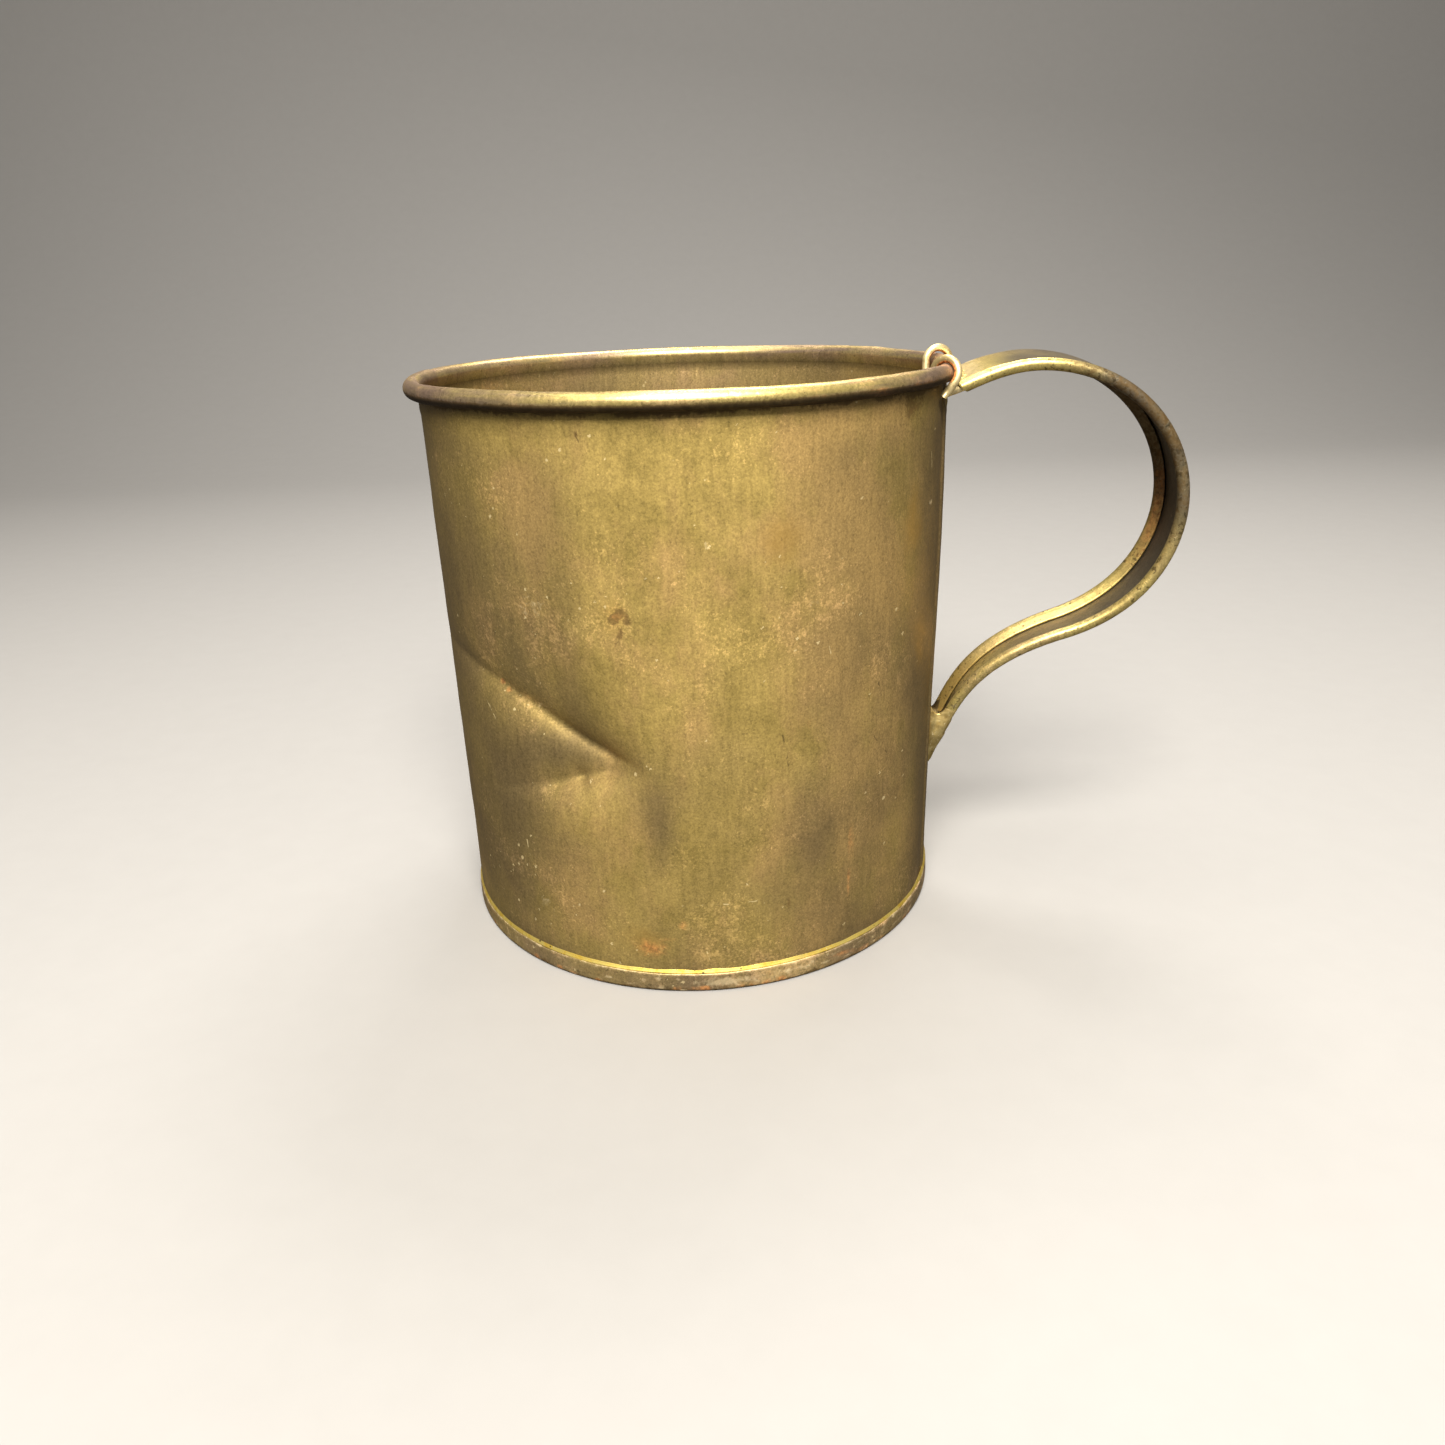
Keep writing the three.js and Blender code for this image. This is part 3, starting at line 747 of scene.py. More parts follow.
def wall_shape(radius, angle, z, part):
    """The sheet's section at each angle, with its dents, its lap and its uneven roll."""
    outside, roll, inside = (part == k for k in range(3))
    doubled = ((angle > LAP_START) & (angle < LAP_END)).astype(float)
    radius = radius + dents(angle, z) * ~roll
    radius = radius - outside * SHEET * jog(angle) * smooth(99, 96, z)
    radius = radius - inside * SHEET * np.maximum(jog(angle), doubled) * smooth(98.6, 97.6, z)
    # A slight shoulder just below the roll, where the sheet was turned out round the wire.
    radius = radius + ~roll * 0.14 * smooth(96.3, 97.0, z)
    fat = 1 + 0.018 * waves_along(np.radians(angle) * BEAD_X, 11, 22)
    radius = np.where(roll, BEAD_X + (radius - BEAD_X) * fat, radius)
    z = np.where(roll, BEAD_Z + (z - BEAD_Z) * fat, z)
    return radius, z + rim_lift(angle) * smooth(92, 100, z)


def outer_fields(angle, z):
    """The patina outside, with a grimy band under the rim that is partly painted shade, painted shade right
    under the roll, and a darker line above the flange.
    """
    around = np.radians(angle) * WALL
    # The band under the rim is grimy and partly painted shade; the line above the flange is only made darker.
    smudge = 0.72 + 0.42 * waves(around, z, 9, 33)
    grime_and_shade = smudge * bump(z, 99.1, 0.9) + 0.34 * bump(z, FLANGE_TOP + 1.0, 0.5)
    return {
        "rust": marks(angle, z, RUST_MARKS),
        "stain_and_shade": marks(angle, z, STAIN_MARKS) + grime_and_shade,
        "pale": marks(angle, z, PALE_MARKS),
        "dull": dullness(angle, z),
        "tan": tan_tone(angle, z),
        "ochre": marks(angle, z, OCHRE_MARKS),
        # Painted shade right under the roll.
        "painted_shade": 0.80 * smooth(98.5, 99.0, z),
    }


def roll_fields(angle, turn):
    """The roll is worn bright in front, partly as a painted sheen, dull at its ends, rusty by the hooks, and
    darkened underneath with painted shade.
    """
    place = np.radians(angle) * BEAD_X
    side = smooth(-150, -120, turn)
    under = smooth(12, -26, turn) * side
    by_hooks = np.maximum(bump(angle, -18.4, 3.0), bump(angle, 15.6, 3.0))
    reddish = bump(angle, -42.0, 18.0) * (0.22 + 0.22 * waves(place * 0.2, turn * 0.14, 3.5, 37))
    right_end = 0.28 * smooth(-52, -26, angle) * smooth(40, 10, angle)
    worn = 0.14 * waves(place * 0.15, turn * 0.10, 4, 35) + 0.10 * waves(place * 0.3, turn * 0.20, 4, 36)
    rubbed_and_sheen = bump(angle, -76.0, 30.0) + 0.45 * bump(angle, 95.0, 55.0)
    # Under the roll the stain, the extra dull tone and the darkening are painted shade.
    return {
        "rust": 0.16 + 0.22 * waves(place, turn / 30, 9, 31) + reddish + 0.75 * by_hooks,
        "stain_and_shade": 0.95 * under + 0.12,
        "dull": 0.10 + 0.62 * (1 - rubbed_and_sheen) + right_end + worn + 0.3 * under,
        "painted_shade": 0.95 * smooth(2, -30, turn) * side,
    }


def inner_fields(angle, z):
    """The patina inside, with a painted shade line and a painted highlight line below the roll, painted shade
    right under it, and a dirty corner at the bottom.
    """
    # A painted shade line below the roll, and a dirty corner at the bottom.
    shade_and_dirt = 0.20 * bump(z, 95.6, 0.8) + 0.3 * bump(z, 0.5, 3.0)
    stain_and_shade = sum((marks(angle, z, [mark]) for mark in INNER_STAIN_MARKS), start=shade_and_dirt)
    return {
        "rust": 0.30 * bump(z, 1.5, 4.0) + marks(angle, z, INNER_RUST_MARKS),
        "stain_and_shade": stain_and_shade,
        # The pale line below the roll is a painted highlight.
        "pale": 0.42 * bump(z, 97.2, 0.6),
        "dull": 0.35 + 0.25 * smooth(90, 20, z),
        # Painted shade right under the roll.
        "painted_shade": 0.65 * smooth(98.0, 98.8, z),
    }


def cup_body():
    section = wall_section()
    angles = wall_angles()
    row, angle = np.meshgrid(np.arange(len(section)), angles, indexing="ij")
    part = section[row, 2]
    radius, z = wall_shape(section[row, 0], angle, section[row, 1], part)
    turn = np.degrees(np.arctan2(z - BEAD_Z, radius - BEAD_X))
    by_part = [outer_fields(angle, z), roll_fields(angle, turn), inner_fields(angle, z)]
    fields = {"around": np.radians(angle) * WALL}
    for label in by_part[0]:
        fields[label] = np.select([part == k for k in range(3)], [each.get(label, 0.0) for each in by_part])
    points = polar(radius, angle, z)
    quads = grid_faces(*angle.shape, True)
    slots = part.astype(int).ravel().tolist()
    return make_piece("cup_sheet", points, quads, [wall_tin, rim_tin, inner_tin], fields, slots=slots)


def ring(name, section, angles, material, wobble, fields):
    """A ring round the cup's axis through a closed section of (radius, height) points."""
    row, angle = np.meshgrid(np.arange(len(section)), angles, indexing="ij")
    radius, z = wobble(section[row, 0], angle, section[row, 1])
    values = {label: make(angle, z) for label, make in fields.items()}
    return make_piece(name, polar(radius, angle, z), grid_faces(*angle.shape, True), [material], values)


def rim_wire():
    section = arc(BEAD_X, BEAD_Z, RIM_WIRE, 0, 337.5, 15)

    def wobble(radius, angle, z):
        return radius, z + rim_lift(angle)

    fields = {"rust": lambda angle, z: 0.3 + 0 * z}
    return ring("rim_core_wire", section, full_turn(240), wire_metal, wobble, fields)


# ---- The bottom ----


def bottom_section():
    """The pan's section from the middle below round to the middle above, and its first row inside."""
    inside = PAN_REACH - PAN_SHEET
    corner = 0.7
    under = [(r, 0.0) for r in (1.0, 6, 12, 18, 24, 30, 35, 39, 42, 44, 45.3)]
    round_corner = arc(PAN_REACH - corner, corner, corner, -90, 0, 6).tolist()
    rise = [(PAN_REACH, z) for z in (1.1, 1.6, 2.2, 2.8, 3.2)]
    lip = [(PAN_REACH - 0.03, FLANGE_TOP - 0.12), (PAN_REACH - 0.12, FLANGE_TOP)]
    lip += [(inside + 0.08, FLANGE_TOP), (inside, FLANGE_TOP - 0.1)]
    drop = [(inside, 2.4), (inside, 1.2), (inside, PAN_SHEET + 0.12), (inside - 0.12, PAN_SHEET)]
    floor = [(r, PAN_SHEET) for r in (46, 45, 43.5, 41.5, 38, 34, 30, 26, 22, 18, 14, 10, 6, 3, 1.0)]
    outer = [*under, *round_corner, *rise, *lip]
    return np.array([*outer, *drop, *floor]), len(outer) - 1


def pan_fields(x, y, radius, angle, z, above):
    """The patina of the pan: worn pale, rusty and grimy on the flange, with a painted highlight along its lip
    and painted shade at its foot, and brown on the flat.
    """
    place = np.radians(angle) * PAN_REACH
    on_flange = radius > 46.5
    flange_rust = 0.24 + 0.26 * waves(place, z * 3, 7, 45)
    flange_rust = flange_rust + 0.55 * bump(z, 0.7, 0.6) * waves_along(place, 3.5, 142)
    floor_rust = 0.10 + 0.26 * waves(x, y, 12, 46) + 0.3 * bump(radius, 45.0, 1.6)
    pale = marks(angle, z, [(-78, 2.0, 9, 1.2, 0.95), (-62, 2.2, 6, 1.0, 0.85)]) * on_flange
    pale = np.maximum(pale, (0.36 + 0.30 * waves(place, z * 4, 4.5, 141)) * on_flange)
    foot_grime = 0.65 * bump(z, 0.0, 0.9) + 0.16 + 0.20 * waves(place, z * 3, 5, 49)
    return {
        "rust": np.where(radius > 45.9, flange_rust, floor_rust),
        "stain_and_shade": np.where(on_flange, foot_grime, 0.18 + 0.22 * waves(x, y, 22, 47)),
        # The pale line along the lip is a painted highlight.
        "pale": np.maximum(pale, 0.70 * smooth(FLANGE_TOP - 0.40, FLANGE_TOP - 0.1, z)),
        "dull": np.where(above, 0.50, 0.60) + (0.2 * waves(place, z, 20, 48) - 0.12) * (radius > 46),
        # Painted shade at the flange's foot.
        "painted_shade": 0.6 * smooth(0.7, 0.1, z) * on_flange,
    }


def bottom_pan():
    """A pan with a turned-up flange, its flat a little hollow and uneven."""
    section, first_inside = bottom_section()
    angles = full_turn(420)
    row, angle = np.meshgrid(np.arange(len(section)), angles, indexing="ij")
    radius, z = section[row, 0], section[row, 1]
    x = radius * np.cos(np.radians(angle))
    y = radius * np.sin(np.radians(angle))
    z = z + smooth(44.5, 38, radius) * (0.30 + 0.16 * waves(x, y, 38, 41) + 0.10 * waves(x, y, 17, 42))
    place = np.radians(angle) * PAN_REACH
    flange = smooth(0.4, 1.6, z) * smooth(46, 47, radius)
    radius = radius + flange * 0.05 * waves(place, z * 2, 16, 43)
    z = z + smooth(3.0, 3.7, z) * smooth(46, 47, radius) * 0.08 * waves_along(place, 8, 44)
    radius = np.minimum(radius, PAN_REACH + 0.05)
    fields = pan_fields(x, y, radius, angle, z, row >= first_inside)
    quads = grid_faces(*angle.shape, False)
    # The rings run the other way round than a loft's.
    caps = [cap[::-1] for cap in end_caps(*angle.shape)]
    return make_piece("bottom_dish", polar(radius, angle, z), quads, [pan_tin], fields, caps)


def bottom_seam_solder():
    """The solder that runs round the cup on the flange's edge, thick here and thin there."""
    inside = WALL - 0.06
    foot = FLANGE_TOP + 0.02
    hump = [(0.0, -0.02), (0.24, -0.02), (0.33, 0.02), (0.35, 0.08), (0.31, 0.18), (0.24, 0.30), (0.17, 0.44)]
    hump += [(0.11, 0.57), (0.06, 0.68), (0.0, 0.75)]
    section = np.array(hump) + (inside, foot)

    def wobble(radius, angle, z):
        place = np.radians(angle) * WALL
        lively = 0.25 + 0.75 * bump(angle, -72.0, 26.0)
        size = 1 + 0.08 * waves_along(place, 24, 51) + 0.09 * lively * waves_along(place, 6.5, 52)
        size = np.clip(size, 0.6, 1.45)
        return inside + (radius - inside) * np.minimum(size, 1.1), foot + (z - foot) * size

    fields = {
        "rust": lambda angle, z: 0.02 + 0.12 * waves(np.radians(angle) * WALL, z, 8, 53),
        "stain_and_shade": lambda angle, z: 0.02 + 0.13 * waves(np.radians(angle) * WALL, z, 5, 54),
    }
    return ring("bottom_seam", section, full_turn(720), flange_solder_highlit, wobble, fields)


def side_seam_solder():
    """The bead of solder over the inner sheet's edge, up the inside of the cup."""
    onto = WALL - 2 * SHEET
    # How far out of the doubled sheet's face, and how many degrees past the lap's end.
    bead = [(0.0, -0.9), (-0.16, -0.5), (-0.22, 0.0), (-0.12, 0.5), (0.10, 1.0), (SHEET - 0.02, 1.6)]
    bead += [(SHEET + 0.1, 1.7), (0.15, 0.2), (0.12, -0.8)]
    out, past = np.array(bead).T
    z = np.linspace(0.95, 97, 260)[:, None]
    size = 1 + 0.22 * waves_along(z, 9, 61) + 0.12 * waves_along(z, 3, 62)
    angle = LAP_END + past * size
    radius = onto + out + dents(angle, z)
    fields = {
        "rust": 0.08 + 0.25 * waves(z, angle * 2, 9, 63),
        "stain_and_shade": 0.22 + 0.25 * waves(z, angle * 2, 6, 64),
    }
    return loft("side_seam", polar(radius, angle, z), seam_solder, fields)


# ---- The handle ----

# The line of the wires seen from the side, in four Bezier spans: how far out from the wall, and how high.
HANDLE_SPANS = [
    [(1.7, 97.7), (4.8, 99), (9.4, 101.3), (15, 101.3)],
    [(15, 101.3), (28.9, 101.3), (41.1, 90.5), (41.1, 76.3)],
    [(41.1, 76.3), (41.1, 70.2), (38.2, 58.4), (22.6, 53.1)],
    [(22.6, 53.1), (6.8, 47.2), (4.6, 39), (1.5, 32.6)],
]
# The roll leaves the wire at this angle and runs down in a ramp to the strip: its foot, outside and inside.
ROLL_LEAVES = -125.0
RAMP_FOOT = (-1.85, 0.42)
RAMP_BACK = (-1.66, 0.60)
# The hooks over the rim: side of the handle, angle of the cut end from the handle, slack over the roll.
FRONT_HOOK = (-1, 17.6, 0.05)
REAR_HOOK = (1, 14.8, 0.25)
# How far past level each hook bends down outside, in degrees, and the length of its straight end.
HOOK_OVER = 35
HOOK_TIP = 2.9
# The strip inside its solder, a little thinner than it is.
STRIP_HALF_THICKNESS = 0.12
# The web of solder under the strap's lower end: the height of its tip, how far out and high its front edge
# starts, and how high its hollow is.
FIN_TIP = 27.3
FIN_OUT = 2.7
FIN_HIGH = 32.6
WEB_TOP = 37.3


def handle_line(count):
    """Evenly spaced points of the line, with the outward direction and the share of its length at each."""
    t = np.linspace(0, 1, 400)[:, None]
    runs = []
    for a, b, c, d in np.array(HANDLE_SPANS, float):
        run = (1 - t) ** 3 * a + 3 * (1 - t) ** 2 * t * b + 3 * (1 - t) * t**2 * c + t**3 * d
        runs.append(run if not runs else run[1:])
    line = np.concatenate(runs)
    length = length_along(line)
    share = np.linspace(0, 1, count)
    place = np.stack(read_at(share * length[-1], length, line), -1)
    along = unit(np.gradient(place, axis=0))
    outward = np.stack([-along[:, 1], along[:, 0]], -1)
    return place, outward, share, length[-1]


def read_at(wanted, known, values):
    """Each column of values, known at some places, read at others."""
    return [np.interp(wanted, known, column) for column in values.T]


def half_width(share):
    return STRAP_TOP_HALF + (STRAP_END_HALF - STRAP_TOP_HALF) * share


def ramp(radius, foot):
    """Angle and radius of places down the ramp, from where the roll leaves the wire."""
    leave = math.radians(ROLL_LEAVES)
    start = np.array([math.cos(leave), math.sin(leave)]) * radius
    places = [start + share * (np.array(foot) - start) for share in (0.2, 0.4, 0.6, 0.8, 1.0)]
    angles = [math.degrees(math.atan2(y, x)) for x, y in places]
    return [(a - 360 if a > 0 else a, math.hypot(x, y)) for a, (x, y) in zip(angles, places)]


def strap_rows():
    """The strap's section as rows of (side, angle about the wire, radius, share of the flat strip).

    Side is 1 or -1 on a roll. It is 0 on the strip, where the radius is the face's height instead.
    """
    turn = np.linspace(90, ROLL_LEAVES, 24)
    outside = [(a, EDGE_RADIUS) for a in turn] + ramp(EDGE_RADIUS, RAMP_FOOT)
    inside = [(a, EDGE_INSIDE) for a in turn[::2]] + ramp(EDGE_INSIDE, RAMP_BACK)
    right = [(1, a, r, 0) for a, r in outside + inside[::-1]]
    left = [(-1, 180 - a, r, 0) for a, r in inside + outside[::-1]]
    across = np.linspace(1, -1, 15)[1:-1]
    under = [(0, 0, EDGE_INSIDE, t) for t in across]
    over = [(0, 0, EDGE_RADIUS, -t) for t in across]
    return np.array(right + under + left + over, float).T


def strap_fields(s, side, reach, height):
    """The strap's patina, for its rolled edges, its underside and its upper side."""
    rolled = (side != 0) & (reach > 0.05)
    underside = (height < STRIP_MIDDLE) & ~rolled

    def by_face(on_roll, under, over):
        return np.where(rolled, on_roll, np.where(underside, under, over))

    # The rolls are rubbed bright but for the outer bend, and the flats are grey.
    dull = by_face(
        0.02 + 0.85 * smooth(0.10, 0.26, s) * smooth(0.56, 0.44, s),
        1.05 - 0.30 * smooth(0.55, 0.72, s) - 0.45 * smooth(0.78, 0.92, s),
        0.92 - 0.85 * smooth(0.11, 0.02, s) - 0.26 * smooth(0.16, 0.40, s),
    )
    # Pale solder wipes the top end. The near roll's lower half is made pale, partly to match the solder below
    # it and partly as a painted highlight.
    pale = by_face(0.50 * smooth(0.55, 0.75, s) * (side < 0), 0.0, 0.95 * smooth(0.095, 0.015, s))
    # The far roll turns orange-brown at the bend and again near its root.
    ochre = by_face((side > 0) * (0.75 * bump(s, 0.50, 0.13) + 0.85 * smooth(0.78, 0.93, s)), 0.0, 0.0)
    near_cut_edge = 0.75 * smooth(0.45, 0.80, reach) * bump(s, 0.50, 0.12)
    rust = near_cut_edge + by_face(0.35 * smooth(0.88, 1.0, s), 0.0, 0.0) + 0.06
    stain_and_shade = by_face(0.20 + 0.45 * bump(s, 0.32, 0.20), 0.60 * smooth(0.78, 0.98, s), 0.0) + 0.05
    # Painted shade lies along the rolls' cut edges, more faintly over the inner part of each roll near the
    # top, and in the hollow under the root.
    cut_edge = 0.75 * smooth(0.955, 0.99, reach) + 0.25 * smooth(0.5, 0.3, s) * smooth(0.35, 0.6, reach)
    painted_shade = by_face(cut_edge, 0.85 * smooth(0.92, 0.985, s), 0.0)
    return {"rust": rust, "stain_and_shade": stain_and_shade, "pale": pale, "dull": dull, "ochre": ochre, "painted_shade": painted_shade}


def handle_strap():
    place, outward, share, length = handle_line(400)
    side, angle, radius, strip = strap_rows()
    flat = side == 0
    turn = np.radians(angle)
    # How far round its wire each place is rolled, from 0 on top to 1 at the ramp's foot.
    reach = np.where(flat, 0.0, np.clip(np.where(side > 0, 90 - angle, angle - 90) / 302, 0, 1))
    # The top end is cut back along the rolls, so the wires come out of tapering mouths.
    start = (0.3 * reach + 3.3 * reach**2) / length
    s = start + (1 - start) * np.linspace(0, 1, 231)[:, None]
    out, high = read_at(s, share, place)
    normal_out, normal_up = read_at(s, share, outward)
    half = half_width(s)
    y = np.where(flat, strip * half, side * half + radius * np.cos(turn))
    # The strip is dished a little between its edges, and the solder has thickened its top end.
    height = np.where(flat, radius - 0.10 * (1 - strip**2) * smooth(0.0, 0.08, s), radius * np.sin(turn))
    lumps = 1 + 0.35 * np.sin(7.0 * y) * np.sin(2.3 * y + 60 * s)
    height = height + (height > STRIP_MIDDLE) * 0.16 * smooth(0.085, 0.02, s) * lumps
    points = np.stack([WALL + out + normal_out * height, y, high + normal_up * height], -1)
    return loft("handle_band", points, handle_tin, strap_fields(s, side, reach, height))


def hook_line(hook):
    """The hook's centre line from the strap's end through the wall, up inside and over the rim, and the share
    of its length at each point."""
    side, tip_angle, slack = hook
    place = handle_line(400)[0]
    start_x, start_z = WALL + place[0, 0], place[0, 1]
    start_radius = math.hypot(start_x, STRAP_TOP_HALF)
    start_angle = math.degrees(math.atan2(STRAP_TOP_HALF, start_x))
    hook_radius = BEAD_RADIUS + WIRE + slack
    bend_radius = 1.5
    slope = 20
    tilt = math.radians(slope)
    bend_x = BEAD_X - hook_radius + bend_radius
    fall = (start_radius - bend_x - bend_radius * math.sin(tilt)) * math.tan(tilt)
    bend_z = start_z - fall + bend_radius * math.cos(tilt)
    lead = np.array([(start_radius, start_z)])
    bend = arc(bend_x, bend_z, bend_radius, slope - 90, -180, 8)
    over = arc(BEAD_X, BEAD_Z, hook_radius, 180, -HOOK_OVER, 26)
    down = math.radians(HOOK_OVER)
    tip = over[-1:] - HOOK_TIP * np.array([math.sin(down), math.cos(down)])
    outline = np.concatenate([lead, (lead + bend[:1]) / 2, bend, over, (over[-1:] + tip) / 2, tip])
    length = length_along(outline)
    share = length / length[-1]
    angle = side * (start_angle + (tip_angle - start_angle) * smooth(0, 1, share))
    return polar(outline[:, 0], angle, outline[:, 1]), share


def handle_wire(name, hook):
    """The wire in the strap's rolled edge and its hook over the rim, as one round rod with a snipped end."""
    place, _, share, _ = handle_line(150)
    in_strap = np.stack([WALL + place[:, 0], hook[0] * half_width(share), place[:, 1]], -1)[::-1]
    hooked, reach = hook_line(hook)
    line = np.concatenate([in_strap, hooked[1:]])
    bent = np.concatenate([np.zeros(len(in_strap)), reach[1:]])[:, None]
    along = unit(np.gradient(line, axis=0))
    lateral = unit(np.array([0.0, 1.0, 0.0]) - along * along[:, 1:2])
    up = np.cross(along, lateral)
    turn = np.radians(np.linspace(0, 360, 21)[:-1])[:, None]
    size = WIRE * (1 + 0.03 * waves_along(bent * 30, 5, 71))
    size[-1] *= 0.86
    spokes = np.cos(turn) * lateral[:, None] + np.sin(turn) * up[:, None]
    points = line[:, None] + size[:, None] * spokes
    gap = np.hypot(BEAD_X - np.hypot(points[..., 0], points[..., 1]), points[..., 2] - BEAD_Z)
    rust = 0.95 * smooth(2.35, 1.75, gap) * (bent > 0) + 0.05
    rust = rust * np.where(bent > 0.35, 1.0, 0.5)
    return loft(name, points, wire_metal, {"rust": rust})


# ---- The handle's solder, as blended fillets between the parts that it joins ----


def distance_to_line(points, line, radius):
    """The distance from points to a rod round a line."""
    best = np.full(points.shape[:-1], 1e9)
    for a, b in zip(line, line[1:]):
        run = b - a
        share = np.clip(((points - a) @ run) / (run @ run), 0, 1)
        best = np.minimum(best, np.linalg.norm(points - a - share[..., None] * run, axis=-1))
    return best - radius


def distance_to_strip(points, low, high):
    """The distance from points to the strap's flat strip, between two shares of its length."""
    place, outward, share, _ = handle_line(160)
    chosen = (share >= low) & (share <= high)
    middle = place[chosen] + STRIP_MIDDLE * outward[chosen]
    flat = np.stack([points[..., 0] - WALL, points[..., 2]], -1)
    best = np.full(points.shape[:-1], 1e9)
    for a, b, half in zip(middle, middle[1:], half_width(share[chosen])):
        gap = distance_to_line(flat, [a, b], 0.0)
        side = np.maximum(np.abs(points[..., 1]) - half, 0)
        best = np.minimum(best, np.hypot(gap, side))
    return best - STRIP_HALF_THICKNESS


def soft_least(a, b, width):
    """The smaller of two distances, blended where they are close."""
    share = np.clip(0.5 + 0.5 * (b - a) / width, 0, 1)
    return b + (a - b) * share - width * share * (1 - share)


def crossings(value, shape):
    """For each cell of a grid of values, the mean place where its edges cross zero, and how many do."""
    corners = [(i, j, k) for i in (0, 1) for j in (0, 1) for k in (0, 1)]
    total = np.zeros((*shape, 3))
    hits = np.zeros(shape)

    def at(corner):
        return value[tuple(slice(c, c + n) for c, n in zip(corner, shape))]

    for a in corners:
        for axis in range(3):
            if a[axis]:
                continue
            b = tuple(1 if n == axis else a[n] for n in range(3))
            va, vb = at(a), at(b)
            cut = (va < 0) != (vb < 0)
            t = np.where(cut, va / np.where(va == vb, 1, va - vb), 0)
            spot = np.stack([np.full(shape, float(a[n])) + (t if n == axis else 0) for n in range(3)], -1)
            total += spot * cut[..., None]
            hits += cut
    return total, hits


def surface_of(value, low, step):
    """Points and quads where a grid of values crosses zero, with a point in each cell that it crosses."""
    shape = np.array(value.shape) - 1
    total, hits = crossings(value, shape)
    crossed = hits > 0
    number = np.full(shape, -1)
    cells = np.argwhere(crossed)
    number[crossed] = np.arange(len(cells))
    points = low + step * (cells + total[crossed] / hits[crossed][:, None])
    inside = value < 0
    quads = []
    for axis in range(3):
        p, q = [n for n in range(3) if n != axis]
        start = np.argwhere(np.diff(inside, axis=axis))
        start = start[(start[:, p] > 0) & (start[:, q] > 0)]
        start = start[(start[:, p] < shape[p]) & (start[:, q] < shape[q])]
        around = []
        for dp, dq in [(0, 0), (1, 0), (1, 1), (0, 1)]:
            cell = start.copy()
            cell[:, p] -= dp
            cell[:, q] -= dq
            around.append(number[tuple(cell.T)])
        quad = np.stack(around, -1)
        flipped = inside[tuple(start.T)] != (axis == 1)
        quad[flipped] = quad[flipped][:, ::-1]
        quads.append(quad)
    return points, np.concatenate(quads)


def solder_piece(name, low, high, step, solid, stain_and_shade, painted_shade=None):
    """A lump of solder from its solid function, trimmed to the box given."""
    axes = [np.arange(a, b + step, step) for a, b in zip(low, high)]
    grid = np.stack(np.meshgrid(*axes, indexing="ij"), -1)
    value = solid(grid)
    for axis in range(3):
        edge = [slice(None)] * 3
        for end in (0, -1):
            edge[axis] = end
            value[tuple(edge)] = np.abs(value[tuple(edge)]) + 0.01
    points, quads = surface_of(value, np.array(low, float), step)
    fields = {"stain_and_shade": stain_and_shade(points), "rust": 0.04 + 0.16 * waves(points[:, 1], points[:, 2], 5, 83)}
    if painted_shade:
        fields["painted_shade"] = painted_shade(points)
    return make_piece(name, points, quads, [seam_solder], fields)


def lumpy(points, size, seed):
    x, y, z = np.moveaxis(points, -1, 0)
    return size * (waves(y, z, 3.4, seed) + 0.6 * waves(x + y, z, 1.7, seed + 1))


